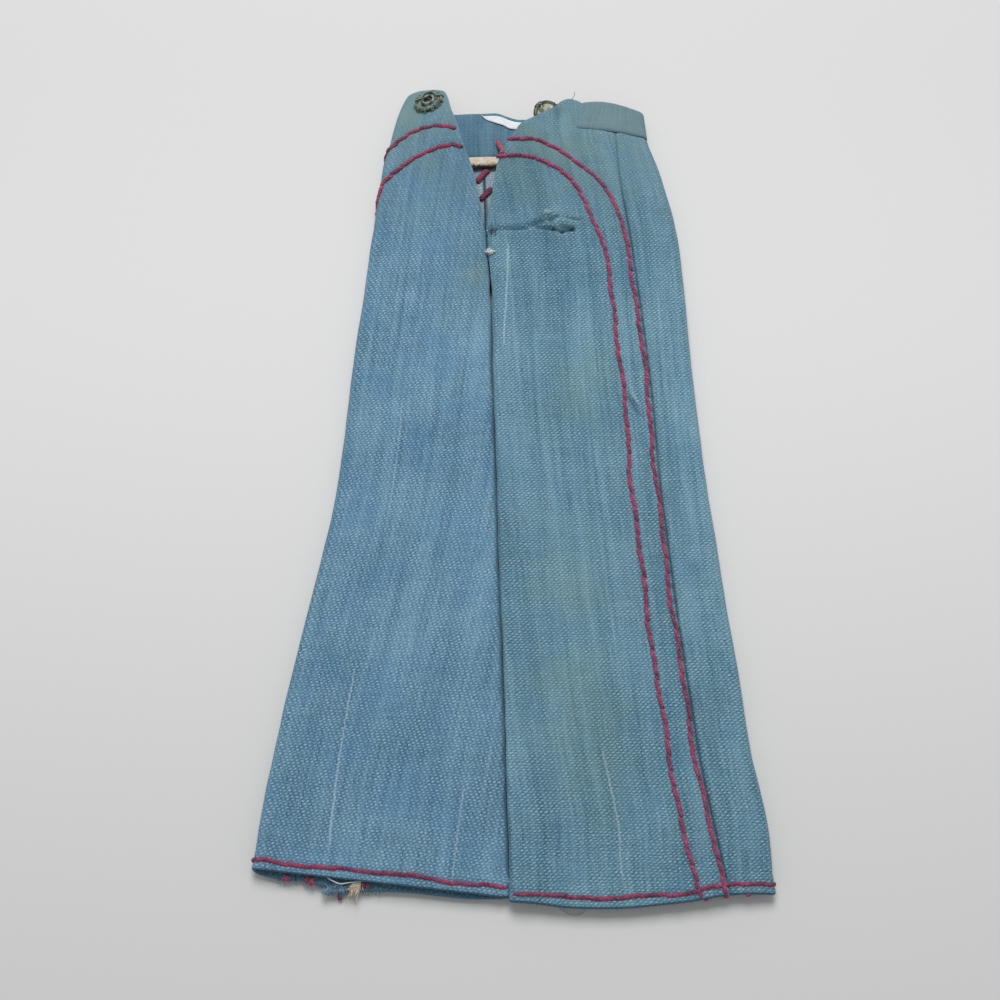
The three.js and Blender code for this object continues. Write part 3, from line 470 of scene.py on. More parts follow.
def plain_point(leg, along, y):
    """A point of a leg's smooth middle surface. Along runs 0 to 1 up the inner fold, 1 to 2 over the front,
    2 to 3 round the side fold, 3 to 4 under the back and 4 to 5 up the inner fold again."""
    along, y = np.broadcast_arrays(np.asarray(along, float), np.asarray(y, float))
    inner, inner_start, outer_start, outer = leg_edges(leg, y)
    front_x = lerp(inner_start, outer_start, np.clip(along - 1, 0, 1))
    back_x = lerp(outer_start, inner_start, np.clip(along - 3, 0, 1))
    side_top = front_height(leg, outer_start, y)
    side_bottom = back_height(leg, outer_start, y)
    turn = np.clip(1 - 2 * (along - 2), -1, 1)
    side_x, side_z = fold_point(outer, leg.side, SIDE_FOLD, SIDE_SQUARENESS, side_top, side_bottom, turn)
    turn = np.clip(np.where(along < 2.5, along, along - 5), -1, 1)
    flat_x = inner + leg.side * INNER_FOLD * np.abs(turn)
    top = front_height(leg, flat_x, y)
    top_start = front_height(leg, inner_start, y)
    bottom = back_height(leg, inner_start, y)
    inner_x, inner_z = fold_point(inner, -leg.side, INNER_FOLD, INNER_SQUARENESS, top_start, bottom, turn)
    closed = fade(y, CROTCH_Y - CROTCH_BLEND, CROTCH_Y + CROTCH_BLEND)
    inside_x = lerp(flat_x, inner_x, closed)
    inside_z = lerp(np.where(turn > 0, top, bottom), inner_z, closed)
    parts = [(along >= 1) & (along <= 2), (along >= 3) & (along <= 4), (along > 2) & (along < 3)]
    x = np.select(parts, [front_x, back_x, side_x], inside_x)
    heights = [front_height(leg, front_x, y), back_height(leg, back_x, y), side_z]
    return stack(x, y, np.select(parts, heights, inside_z))


def outward(point_at, leg, along, y):
    """Outward normal of a surface given by a function of along and y"""
    across = point_at(leg, along + SLIGHT, y) - point_at(leg, along - SLIGHT, y)
    upward = point_at(leg, along, y + CLOTH) - point_at(leg, along, y - CLOTH)
    return unit(np.cross(across, upward) * leg.side)


def front_along(leg, x, y):
    _, start, end, _ = leg_edges(leg, y)
    return 1 + (x - start) / (end - start)


def back_along(leg, x, y):
    _, end, start, _ = leg_edges(leg, y)
    return 3 + (x - start) / (end - start)


def leg_measures(leg, y):
    """Length of cloth round a quarter of the side fold, and width of the flat stretch"""
    _, inner_start, outer_start, _ = leg_edges(leg, y)
    half = (front_height(leg, outer_start, y) - back_height(leg, outer_start, y)) / 2
    return (math.pi / 2) * np.sqrt((SIDE_FOLD**2 + half**2) / 2), np.abs(outer_start - inner_start)


def girth_along(leg, girth, y):
    """Place on the loop at a distance round the leg from the side edge, positive over the front"""
    quarter, width = leg_measures(leg, y)
    edge = leg.reach(y) - CLOTH / 2 - SIDE_FOLD
    per_mm = width / INNER_ROUND
    front = front_along(leg, leg.side * (edge - (girth - quarter)), y)
    front = np.where(front < 1, 1 - (1 - front) * per_mm, front)
    back = back_along(leg, leg.side * (edge - (-girth - quarter)), y)
    back = np.where(back > 4, 4 + (back - 4) * per_mm, back)
    return np.where(girth > quarter, front, np.where(girth < -quarter, back, 2.5 - girth / (2 * quarter)))


def girth_at(leg, along, y):
    quarter, width = leg_measures(leg, y)
    front = quarter + np.clip(2 - along, 0, 1) * width + np.clip(1 - along, 0, 1) * INNER_ROUND
    back = -quarter - np.clip(along - 3, 0, 1) * width - np.clip(along - 4, 0, 1) * INNER_ROUND
    side = (2.5 - along) * 2 * quarter
    return np.where(along <= 2, front, np.where(along >= 3, back, side))


def seam_girth(leg, y):
    """Girth of the side seam, whose distance from the outline is measured straight across"""
    return leg.side * (leg.wrap(y) + leg_measures(leg, y)[0] - SIDE_FOLD - CLOTH / 2)


def row_route(leg, bend, from_seam, low):
    """A stitch row comes up beside the side seam and turns over towards the fly, as girths and heights"""
    bottom = hem_line(leg, leg.side * leg.reach(0)) + low
    straight_y = np.linspace(bottom, bend[0][1], 400, endpoint=False)
    upright = seam_girth(leg, straight_y) + from_seam
    bend = np.array(bend)
    bend[0, 0] = upright[-1]
    travelled = np.concatenate([[0], np.cumsum(np.hypot(*np.diff(bend, axis=0).T))])
    turned = path_through(bend, travelled, np.linspace(0, travelled[-1], 400))
    return evenly(np.concatenate([upright, turned[:, 0]]), np.concatenate([straight_y, turned[:, 1]]))


def evenly(girth, y):
    """The route again with even steps, and the distance travelled along it"""
    travelled = np.concatenate([[0], np.cumsum(np.hypot(np.diff(girth), np.diff(y)))])
    places = np.arange(0, travelled[-1], ROW_STEP)
    return np.interp(places, travelled, girth), np.interp(places, travelled, y), places


right_leg.rows = [
    row_route(right_leg, RIGHT_OUTER, ROW_INSET, 0.0),
    row_route(right_leg, RIGHT_INNER, ROW_INSET + ROW_SPACING, -0.9),
]
left_leg.rows = [
    row_route(left_leg, LEFT_OUTER, ROW_INSET, 2.9),
    row_route(left_leg, LEFT_INNER, ROW_INSET + ROW_SPACING, 2.9),
]


def nearest(row, girth, y):
    """Distance to a row and the place on it that is nearest"""
    shape = np.shape(girth)
    points = stack(np.ravel(girth), np.ravel(y))
    row_girth, row_y, row_travelled = row
    distance = []
    travelled = []
    for some in np.array_split(points, 1 + len(points) // 8192):
        square = (some[:, :1] - row_girth) ** 2 + (some[:, 1:] - row_y) ** 2
        distance.append(np.sqrt(square.min(axis=1)))
        travelled.append(row_travelled[square.argmin(axis=1)])
    return np.concatenate(distance).reshape(shape), np.concatenate(travelled).reshape(shape)


def seam_distances(leg, along, girth, y):
    """Distances to the side seam and to the inseam or the seam up the middle"""
    over = np.where(along < 1, along, 5 - along) * INNER_ROUND
    flat = INNER_ROUND + 9 * np.minimum(np.abs(along - 1), np.abs(along - 4))
    return np.abs(girth - seam_girth(leg, y)), np.where((along < 1) | (along > 4), over, flat)


def line_distance(x, y, start, end):
    """Distance in plan to a straight line, the share of the way along it and the distance across it"""
    start = np.array(start, float)
    run = np.array(end, float) - start
    share = np.clip(((x - start[0]) * run[0] + (y - start[1]) * run[1]) / (run @ run), 0, 1)
    across = ((x - start[0]) * run[1] - (y - start[1]) * run[0]) / math.sqrt(run @ run)
    return np.hypot(x - start[0] - share * run[0], y - start[1] - share * run[1]), share, across


CREASE = ((-2.9, 138.2), (-1.8, 139.3), (5.3, 139.4), (7.1, 140.0), (8.4, 141.0))
PUCKER = ((25.6, 103.2), (29.3, 95.2))
# Two places, width and depth
RECESSES = (
    ((7.0, 140.0), (8.4, 140.9), 0.55, 0.6),
    ((8.0, 139.3), (11.4, 138.8), 0.42, 0.55),
    ((11.4, 138.9), (13.2, 138.2), 0.42, 0.55),
    ((13.2, 138.2), (15.7, 139.0), 0.4, 0.6),
    ((13.2, 139.4), (15.6, 139.2), 0.7, 0.6),
    ((8.8, 140.6), (10.6, 141.2), 0.5, 0.5),
    ((10.9, 140.8), (12.0, 141.9), 0.5, 0.7),
    ((12.2, 142.2), (17.0, 141.3), 0.35, 0.4),
)
# A place, width and height
BUMPS = ((10.0, 142.7, 0.9, 0.8), (10.4, 140.0, 1.0, 0.3), (12.8, 140.5, 1.3, 0.3), (15.4, 140.0, 1.4, 0.25))


def creases(x, y):
    """The crease beside the foot of the right flap, the crumple at its end and the pucker lower down"""
    above = y - np.interp(x, *zip(*CREASE))
    puff = 0.25 * smooth(above, 0, 0.45) * fade(above, 0.8, 3.6)
    height = smooth(x, -3.2, -2.6) * fade(x, 6.8, 8.6) * (puff - 0.6 * bump(above + 0.1, 0.3))
    for start, end, width, depth in RECESSES:
        height = height - depth * bump(line_distance(x, y, start, end)[0], width)
    for bump_x, bump_y, width, rise in BUMPS:
        height = height + rise * bump(np.hypot(x - bump_x, (y - bump_y) * 1.5), width)
    away, share, across = line_distance(x, y, *PUCKER)
    strength = np.sin(math.pi * np.clip(share, 0.02, 0.98)) * bump(away, 2.2)
    return height + strength * (0.55 * bump(across + 0.35, 0.55) - 0.6 * bump(across - 0.55, 0.5))


def ripples(leg, x, y):
    """Soft upright ripples in the loose cloth beside the fly and over the seat"""
    wander = 1.3 * np.sin(y / 7.5 + leg.side) + 0.6 * np.sin(y / 3.1)
    broad = 0.09 * np.sin((x + wander) * FULL_TURN / 6.3)
    narrow = 0.04 * np.sin((x - wander) * FULL_TURN / 3.7)
    return smooth(y, 118, 150) * (1 - 0.7 * smooth(y, 160, 168)) * (broad + narrow)


def broad_relief(leg, girth, y):
    """Slow waves of the cloth, and the strip between the two rows, which stands up"""
    spread = sum(nearest(row, girth, y)[0] for row in leg.rows)
    return 0.13 * leg.long_waves(girth, y) + 0.22 * fade(spread, ROW_SPACING + 0.3, ROW_SPACING + 1.8)


# Depths and heights of the fine relief
ROW_GROOVE = 0.17
ROW_PULL = 0.085
HEM_STEP = 0.16
HEM_GROOVE = 0.17
HEM_PULL = 0.09
SIDE_GROOVE = 0.4
SIDE_RIDGE = 0.1
INSEAM_GROOVE = 0.08
SNAP_DENT = 0.2


def fine_relief(leg, along, girth, y):
    """Seams, stitch pulls, hems and creases"""
    x = plain_point(leg, along, y)[..., 0]
    height = 0.035 * leg.short_waves(girth, y) + ripples(leg, x, y)
    for row in leg.rows:
        distance, travelled = nearest(row, girth, y)
        pull = ROW_PULL * (0.75 + 0.5 * np.sin(travelled / 9.0 + 2 * leg.side))
        pull = pull * np.cos(FULL_TURN * travelled / STITCH) * bump(distance, 1.5)
        height = height - ROW_GROOVE * bump(distance, 0.55) - pull
    up = y - hem_at(leg, along, x)
    height = height + HEM_STEP * fade(up, HEM_DEPTH - 0.5, HEM_DEPTH + 0.4)
    height = height - HEM_GROOVE * bump(up - HEM_INSET, 0.5)
    height = height + HEM_PULL * np.cos(FULL_TURN * (girth + 0.8 * up) / HEM_STITCH) * bump(up - 1, 2.4)
    from_side, from_inner = seam_distances(leg, along, girth, y)
    height = height - SIDE_GROOVE * bump(from_side, 0.5) * (1 - 0.55 * smooth(y, 146, 160))
    height = height + SIDE_RIDGE * bump(from_side - 1.1, 0.5)
    open_share = smooth(y, CROTCH_Y - CROTCH_BLEND, CROTCH_Y + CROTCH_BLEND)
    height = height - lerp(INSEAM_GROOVE, SIDE_GROOVE, open_share) * bump(from_inner, 0.5)
    if leg is right_leg:
        height = height + creases(x, y) * (along < 2)
    snap_x, snap_y, sign = leg.snap_rest
    away = np.hypot(x - snap_x, y - snap_y)
    return height + sign * SNAP_DENT * fade(away, SNAP_RADIUS - 0.6, SNAP_RADIUS + 1.1)


def banded(leg, along, x, y):
    """How far the cloth's top, inside the waistband, is drawn in"""
    past = smooth(y - band_line(x), -0.35, 0.5)
    if leg is left_leg:
        from_seam = leg.reach(y) - leg.wrap(y) - leg.side * x
        return BAND * past * np.where(along > 3, smooth(from_seam, -0.2, 0.4), 0)
    near = smooth(-from_fold(leg, x, y), 0.8, 6)
    return past * np.where(along < 2.5, near, 1) * lerp(0.4, BAND, smooth(along, 2, 3))


def cloth_point(leg, along, y):
    """The cloth's middle surface with all its relief. Nothing stands out on its underside."""
    plain = plain_point(leg, along, y)
    girth = girth_at(leg, along, y)
    height = broad_relief(leg, girth, y) + fine_relief(leg, along, girth, y)
    height = np.where(height > 0, height * fade(along, 2.25, 2.75), height)
    height = height - banded(leg, along, plain[..., 0], y)
    return plain + outward(plain_point, leg, along, y) * height[..., None]


def outline_y(leg, x):
    """Height of the flap's free and top edge"""
    places = np.arange(len(leg.top_edge))
    edge = path_through(leg.top_edge, places, np.linspace(0, places[-1], 200))
    return np.interp(leg.side * x, np.maximum.accumulate(leg.side * edge[:, 0]), edge[:, 1])


def front_top(leg, along, x):
    """The line that the front cloth's top edge follows"""
    flap = outline_y(leg, x)
    if leg is right_leg:
        fold_end = fold_top(leg)[0]
        inside_band = lerp(flap, waist_line(x) - 0.7, smooth(x, fold_end, fold_end + 3))
        return np.where(x < fold_end, flap, inside_band)
    turned = lerp(FLAP_CORNER, waist_line(x) - 0.8, smooth(along, 2.5, 3))
    side = lerp(flap, FLAP_CORNER, np.clip(2 * (along - 2), 0, 1) ** 2)
    return np.where(along < 2.5, side, turned)


def back_top(leg, along, x):
    return back_waist(x) - 0.7


def spread(*stretches):
    """Columns round the loop, each as two places, which may depend on the height, and a share"""
    columns = [(start, end, i / steps) for start, end, steps in stretches for i in range(1, steps + 1)]
    return [(stretches[0][0], stretches[0][1], 0.0), *columns]


def along_at(columns, y):
    def at(place, height):
        return place(height) if callable(place) else np.full(np.shape(height), float(place))

    rows = zip(columns, y)
    return np.array([lerp(at(a, height), at(b, height), share) for (a, b, share), height in rows])


def crossing(leg, columns, line):
    """Where each column meets a line across the leg"""
    y = np.full((len(columns), 1), 100.0)
    for _ in range(10):
        along = along_at(columns, y)
        y = line(leg, along, plain_point(leg, along, y)[..., 0])
    return y


def seam_along(leg, offset):
    side = front_along if leg is right_leg else back_along
    return lambda y: side(leg, leg.side * (leg.reach(y) - leg.wrap(y) + offset), y)


def make_mesh(name, points, faces, materials, face_materials=None, cloth_place=None):
    """A mesh object from points in the trousers' millimetres"""
    mesh = bpy.data.meshes.new(name)
    mesh.from_pydata((np.asarray(points, float).reshape(-1, 3) * MM + SHIFT).tolist(), [], faces)
    mesh.shade_smooth()
    for material in materials:
        mesh.materials.append(material)
    if face_materials is not None:
        mesh.polygons.foreach_set("material_index", np.asarray(face_materials, np.int32))
    if cloth_place is not None:
        attribute = mesh.attributes.new("cloth_place", "FLOAT_VECTOR", "POINT")
        attribute.data.foreach_set("vector", np.asarray(cloth_place, np.float32).ravel())
    mesh.update()
    return link_object(name, mesh)


def grid_faces(columns, rows, offset=0):
    index = np.arange(columns * rows).reshape(columns, rows) + offset
    corners = (index[:-1, :-1], index[1:, :-1], index[1:, 1:], index[:-1, 1:])
    return np.stack([corner.ravel() for corner in corners], axis=1)


def sheet(name, grid, thickness, place, materials, flip=False):
    """A closed sheet about a grid of middle points. Place holds each point's cloth coordinates."""
    columns, rows = grid.shape[:2]
    normal = unit(np.cross(np.gradient(grid, axis=0), np.gradient(grid, axis=1))) * (-1 if flip else 1)
    half = np.broadcast_to(np.asarray(thickness, float), (columns, rows))[..., None] / 2
    points = np.concatenate([(grid + normal * half).reshape(-1, 3), (grid - normal * half).reshape(-1, 3)])
    under = columns * rows
    outer = grid_faces(columns, rows)
    inner = grid_faces(columns, rows, under)[:, ::-1]
    rim = []
    for i in range(columns - 1):
        a, b = i * rows, (i + 1) * rows
        rim.append((a, a + under, b + under, b))
        a, b = a + rows - 1, b + rows - 1
        rim.append((a, b, b + under, a + under))
    for j in range(rows - 1):
        rim.append((j, j + 1, j + 1 + under, j + under))
        a = (columns - 1) * rows + j
        rim.append((a, a + under, a + 1 + under, a + 1))
    faces = np.concatenate([outer, inner, np.array(rim)])
    if flip:
        faces = faces[:, ::-1]
    kinds = np.repeat((0, 1, 0), (len(outer), len(inner), len(rim)))
    cloth_place = np.concatenate([place.reshape(-1, 3)] * 2)
    return make_mesh(name, points, faces.tolist(), materials, kinds, cloth_place)


def row_shares(leg, length):
    """The rows lie closer together where the right front is creased"""
    places = np.linspace(0, 1, 2000)
    density = 1 + leg.crowding * bump((places - 0.815) / 0.02, 1)
    total = np.concatenate([[0], np.cumsum((density[1:] + density[:-1]) / 2)])
    return np.interp(np.linspace(0, 1, int(length / CELL * density.mean())), total / total[-1], places)


def turned_over(middle, normal, radius, way):
    """Points on the half circle that cloth makes where it turns over an edge"""
    angles = np.linspace(0, math.pi, 7)[None, 1:-1, None]
    return middle + radius * (np.cos(angles) * normal + np.sin(angles) * np.array([0, way, 0]))


# The last rows below a panel's top edge: how far below it they lie and their share of the thickness
EDGE_OFFSETS = (0.34, 0.2, 0.08, 0)
EDGE_SHARES = (1, 0.9, 0.62, 0.2)
STEEPEST_EDGE = 4


def panel_heights(leg, columns, low, high):
    """Heights of a panel's rows of points, from just above the hem's turn to the top line"""
    top_x = plain_point(leg, along_at(columns, high), high)[..., 0]
    run = np.gradient(top_x[:, 0])
    slope = np.abs(np.gradient(high[:, 0]) / np.where(np.abs(run) < 1e-3, 1, run))
    stretch = np.sqrt(1 + np.minimum(slope, STEEPEST_EDGE) ** 2)[:, None]
    shares = row_shares(leg, float((high - low).max()))[None]
    heights = [lerp(low, high - EDGE_OFFSETS[0] * stretch, shares)]
    return np.concatenate(heights + [high - offset * stretch for offset in EDGE_OFFSETS[1:]], axis=1)


def panel_wear_and_shade(leg, along, girth, heights):
    """Ridges are worn pale; creases get painted shade, and so does the left leg's inner edge, which lies in
    shade
    """
    wear_and_shade = np.clip(fine_relief(leg, along, girth, heights) / 0.5, -1, 1)
    _, from_inner = seam_distances(leg, along, girth, heights)
    shade = 0.5 * fade(from_inner, 1, 3.4) + 0.4 * fade(from_inner, 0.9, 1.9)
    return wear_and_shade - leg.edge_shade * shade * fade(heights, CROTCH_Y - 12, CROTCH_Y)


def leg_panel(name, leg, stretches, top_line):
    """A panel of a leg, from the cloth turned up inside the hem to the panel's top line"""
    columns = spread(*stretches)
    low = crossing(leg, columns, hem_at) + HEM_ROUND
    high = crossing(leg, columns, top_line)

    def middle_and_normal(y):
        along = along_at(columns, y)
        return cloth_point(leg, along, y), outward(plain_point, leg, along, y)

    heights = panel_heights(leg, columns, low, high)
    along = along_at(columns, heights)
    turned, turned_normal = middle_and_normal(low + np.linspace(HEM_DEPTH - HEM_ROUND, 0, 6)[None])
    turned = turned - turned_normal * 2 * HEM_ROUND
    low_point, low_normal = middle_and_normal(low)
    bend = turned_over(low_point - low_normal * HEM_ROUND, low_normal, HEM_ROUND, -1.0)[:, ::-1]
    grid = np.concatenate([turned, bend, cloth_point(leg, along, heights)], axis=1)
    girth = girth_at(leg, along, heights)
    body_place = stack(girth * leg.side, heights, panel_wear_and_shade(leg, along, girth, heights))
    inside = np.linspace(-HEM_DEPTH, 0, turned.shape[1] + bend.shape[1], endpoint=False)[None]
    turned_girth = np.repeat(girth[:, :1], inside.shape[1], axis=1)
    turned_place = stack(turned_girth * leg.side, low + inside, 0 * turned_girth + HEM_TURNED_SHADE)
    thickness = np.full(grid.shape[:2], CLOTH)
    thickness[:, -len(EDGE_SHARES):] *= np.array(EDGE_SHARES)
    thickness[:, 0] *= 0.35
    place = np.concatenate([turned_place, body_place], axis=1)
    piece = sheet(name, grid, thickness, place, (leg.denim, denim_wrong), flip=leg is left_leg)
    length = (float((high - low).max()) + HEM_DEPTH) * MM
    return piece


class Value:
    """A shader socket that can stand in a formula"""

    def __init__(self, nodes, socket):
        self.nodes = nodes
        self.socket = socket

    def __add__(self, other):
        return self.nodes.math("ADD", self, other)

    def __sub__(self, other):
        return self.nodes.math("SUBTRACT", self, other)

    def __mul__(self, other):
        return self.nodes.math("MULTIPLY", self, other)

    def __truediv__(self, other):
        return self.nodes.math("DIVIDE", self, other)

    __radd__ = __add__
    __rmul__ = __mul__


def srgb(red, green, blue):
    """A colour given in the 0 to 255 numbers of a picture"""
    def linear(value):
        value = value / 255
        return value / 12.92 if value <= 0.04045 else ((value + 0.055) / 1.055) ** 2.4
    return (linear(red), linear(green), linear(blue), 1)


class Nodes:
    """A material with short ways to add nodes to its tree. Colours are given in 0 to 255 numbers."""

    def __init__(self, name, roughness, metallic=0.0, specular=0.25, sheen=(0.0, 0.5)):
        self.material = bpy.data.materials.new(name)
        self.material.use_nodes = True
        self.tree = self.material.node_tree
        self.shader = self.tree.nodes["Principled BSDF"].inputs
        self.shader["Roughness"].default_value = roughness
        self.shader["Metallic"].default_value = metallic
        self.shader["Specular IOR Level"].default_value = specular
        self.shader["Sheen Weight"].default_value = sheen[0]
        self.shader["Sheen Roughness"].default_value = sheen[1]

    def link(self, value, socket):
        if isinstance(value, Value):
            self.tree.links.new(value.socket, socket)
        else:
            socket.default_value = srgb(*value) if isinstance(value, tuple) else value

    def add(self, kind, inputs, output, **settings):
        node = self.tree.nodes.new(kind)
        for key, value in settings.items():
            setattr(node, key, value)
        for key, value in inputs.items():
            self.link(value, node.inputs[key])
        return Value(self, node.outputs[output])

    def math(self, operation, *values):
        return self.add("ShaderNodeMath", dict(enumerate(values)), 0, operation=operation)

    def mix(self, share, first, second):
        return self.add("ShaderNodeMix", {"Factor": share, 6: first, 7: second}, 2, data_type="RGBA")

    def join(self, *values):
        return self.add("ShaderNodeCombineXYZ", dict(enumerate(values)), 0)

    def split(self, vector):
        node = self.tree.nodes.new("ShaderNodeSeparateXYZ")
        self.link(vector, node.inputs[0])
        return [Value(self, output) for output in node.outputs]

    def place(self):
        return self.add("ShaderNodeTexCoord", {}, "Object")

    def noise(self, vector, scale, detail=2.0, roughness=0.5):
        inputs = {"Vector": vector, "Scale": scale, "Detail": detail, "Roughness": roughness}
        return self.add("ShaderNodeTexNoise", inputs, "Fac")

    def chance(self, vector):
        return self.add("ShaderNodeTexWhiteNoise", {"Vector": vector}, "Value", noise_dimensions="3D")

    def ramp(self, value, start, end, low=0.0, high=1.0, kind="SMOOTHSTEP"):
        inputs = {"Value": value, "From Min": start, "From Max": end, "To Min": low, "To Max": high}
        return self.add("ShaderNodeMapRange", inputs, "Result", interpolation_type=kind)

    def finish(self, colour, height, strength, distance):
        """Joins the colour and a bump to the shader"""
        inputs = {"Height": height, "Strength": strength, "Distance": distance}
        self.link(self.add("ShaderNodeBump", inputs, "Normal"), self.shader["Normal"])
        self.link(colour, self.shader["Base Color"])
        return self.material


WARP = 0.31
WEFT = 0.51
PALE = (190, 212, 220)


def denim(name, dark, light, pale=PALE, weave=1.0, streaks=1.0, lean=(0, 0), floats=(0.36, 0.8), blue=0.0,
          flecks=0.6, top_grey_and_shade=1.0, strip_light=0.0, greens=(), slubs=()):
    """Twill. The pale weft shows between the upright warp threads in slanting rows of short flecks. Cloth
    coordinates are millimetres across and up, and the third is wear and painted shade: above 0 a ridge, worn
    pale, below 0 a crease or a place in shade, darkened with painted shade."""
    n = Nodes(name, 0.92, specular=0.12, sheen=(0.1, 0.5))
    u, v, wear_and_shade = n.split(n.add("ShaderNodeAttribute", {}, "Vector", attribute_name="cloth_place"))
    place = n.join(u, v)

    def streak(across, along, seed, low, high, detail=3.0, roughness=0.6):
        return n.ramp(n.noise(n.join(u * across, v * along, seed), 1.0, detail, roughness), low, high)

    # The weave
    wander = (n.noise(place, 0.5, 3.0) - 0.5) * 0.55
    sag = (n.noise(place, 0.4, 3.0) - 0.5) * 0.8
    warp = (u + wander) / WARP
    weft = (v + u * (v * lean[1] + lean[0]) + sag) / WEFT
    rising = n.math("COSINE", (warp + weft * 2.0) * (FULL_TURN / 3))
    falling = n.math("COSINE", (weft - warp) * (FULL_TURN / 3))
    across = n.math("COSINE", weft * FULL_TURN)
    twill = rising + (falling * floats[0] + across * floats[1])
    luck = n.chance(n.join(n.math("FLOOR", warp), n.math("FLOOR", weft)))
    grain = n.ramp(n.noise(place, 4.2, 2.0, 0.7), 0.25, 0.75)
    strength = (luck * 0.8 + 0.45) * n.ramp(n.noise(place, 0.2, 3.0, 0.6), 0.3, 0.7, 0.6, 1.15)
    strength = strength * n.ramp(v, 128.0, 162.0, 1.0, 1.0 - 0.68 * top_grey_and_shade)
    woven = twill * strength * (0.23 * weave)

    # Broad painted shade, darker across the upper legs and towards the hems, and, where strip_light is set,
    # painted light near the side edge; then streaks of uneven threads
    shade = n.ramp(v, 112.0, 136.0) * n.ramp(v, 156.0, 168.0, 1.0, 0.0) * (-0.1 * top_grey_and_shade)
    shade = shade + n.ramp(v, 10.0, 50.0, -0.035, 0.0)
    strip = n.ramp(u, 7.5, 10.0, 1.0, 0.0) * n.ramp(v, 30.0, 60.0) * n.ramp(v, 115.0, 135.0, 1.0, 0.0)
    uneven = (
        (streak(1.3, 0.03, 0.0, 0.28, 0.74, 4.0, 0.65), 0.3 * streaks),
        (streak(4.6, 0.2, 4.0, 0.25, 0.75), 0.26),
        (streak(0.12, 2.4, 9.0, 0.3, 0.75), 0.14),
        (streak(0.36, 0.012, 14.0, 0.3, 0.7, 2.0), 0.2 * streaks),
        (n.ramp(n.noise(place, 0.05, 4.0, 0.55), 0.3, 0.7), 0.16),
        (grain, 0.4),
    )
    even = woven + (shade + strip * strip_light) + 0.5
    tone = sum(((kind - 0.5) * amount for kind, amount in uneven), even)
    colour = n.mix(n.ramp(tone, -0.15, 1.15), dark, light)
    blueness = n.ramp(n.noise(place, 0.09, 3.0, 0.6), 0.42, 0.68) * blue
    colour = n.mix(blueness, colour, (64, 118, 160))

    # Single pale threads
    for (low_u, low_v), (high_u, high_v), amount in slubs:
        share = n.ramp(v, low_v, high_v, kind="LINEAR")
        jitter = (n.noise(n.join(0.0, v * 0.5, 30.0), 1.0, 3.0) - 0.5) * 0.7
        off = n.math("ABSOLUTE", u - (share * (high_u - low_u) + low_u) + jitter)
        inside = n.ramp(share, 0.0, 0.12) * n.ramp(share, 0.88, 1.0, 1.0, 0.0)
        broken = n.ramp(n.noise(n.join(0.0, v * 1.6, 40.0), 1.0, 4.0, 0.8), 0.4, 0.64, 0.35, 1.0)
        colour = n.mix(n.ramp(off, 0.04, 0.32, 1.0, 0.0) * inside * (broken * amount), colour, pale)
    rare = streak(2.2, 0.045, 21.0, 0.63, 0.8, 2.0)
    colour = n.mix(rare * (0.4 * streaks), colour, pale)
    fleck = n.ramp(twill, 0.8, 1.9) * n.ramp(luck, 0.4, 1.0)
    colour = n.mix(fleck * (flecks * weave), colour, pale)

    # Grey towards the top, and greenish stains
    patch = n.ramp(n.noise(place, 0.13, 3.0, 0.6), 0.32, 0.68, 0.3, 1.0)
    grey = n.ramp(v, 128.0, 160.0) * (0.5 * top_grey_and_shade) + n.ramp(v, 160.0, 172.0) * (0.36 * top_grey_and_shade)
    colour = n.mix(grey * patch, colour, (108, 134, 138))
    for green_u, green_v, wide, tall, amount in greens:
        du = (u - green_u) / wide
        dv = (v - green_v) / tall
        near = n.math("EXPONENT", (du * du + dv * dv) * -1.0) * amount
        colour = n.mix(near * patch, colour, (112, 136, 122))

    # Worn pale ridges, and painted shade in creases and in places that lie in shade
    colour = n.mix(n.ramp(wear_and_shade, 0.5, 1.4) * n.ramp(grain, 0.0, 1.0, 0.3, 0.8), colour, pale)
    colour = n.mix(n.ramp(wear_and_shade, -0.2, -0.9, 0.0, 0.62), colour, (38, 74, 90))
    return n.finish(colour, twill * 0.2 + grain * 0.5, 0.5, 0.0001)


def thread_material(name, dark, bright, pale):
    """Twisted thread with a soft sheen, darker and paler along its length"""
    n = Nodes(name, 0.7, specular=0.3, sheen=(0.3, 0.4))
    place = n.place()
    broad = n.ramp(n.noise(place, 260.0, 3.0, 0.6), 0.34, 0.66)
    fuzz = n.ramp(n.noise(place, 2600.0, 3.0, 0.7), 0.42, 0.72)
    colour = n.mix(fuzz * 0.46, n.mix(broad, dark, bright), pale)
    return n.finish(colour, n.noise(place, 4200.0, 3.0, 0.7), 0.5, 0.00008)


def tape_material(name, base, shade, specks):
    """Loosely woven raw edge"""
    n = Nodes(name, 0.95, specular=0.12)
    place = n.place()
    broad = n.ramp(n.noise(place, 420.0, 4.0, 0.65), 0.35, 0.7)
    fine = n.ramp(n.noise(place, 2400.0, 3.0, 0.6), 0.4, 0.75)
    return n.finish(n.mix(fine * 0.5, n.mix(broad, base, shade), specks), fine + broad, 0.6, 0.00012)


def metal_material(name, clean, tarnish, green, roughness, blotches):
    """Stamped metal that has tarnished unevenly"""
    n = Nodes(name, roughness, 0.45, 0.5)
    place = n.place()
    stain = n.ramp(n.noise(place, blotches, 5.0, 0.65), 0.4, 0.6)
    bloom = n.ramp(n.noise(place, 900.0, 3.0, 0.6), 0.55, 0.75)
    n.link(n.ramp(stain, 0.0, 1.0, roughness - 0.12, roughness + 0.25), n.shader["Roughness"])
    colour = n.mix(bloom * 0.55, n.mix(stain, clean, tarnish), green)
    return n.finish(colour, n.noise(place, 1500.0, 4.0, 0.6), 0.35, 0.00008)


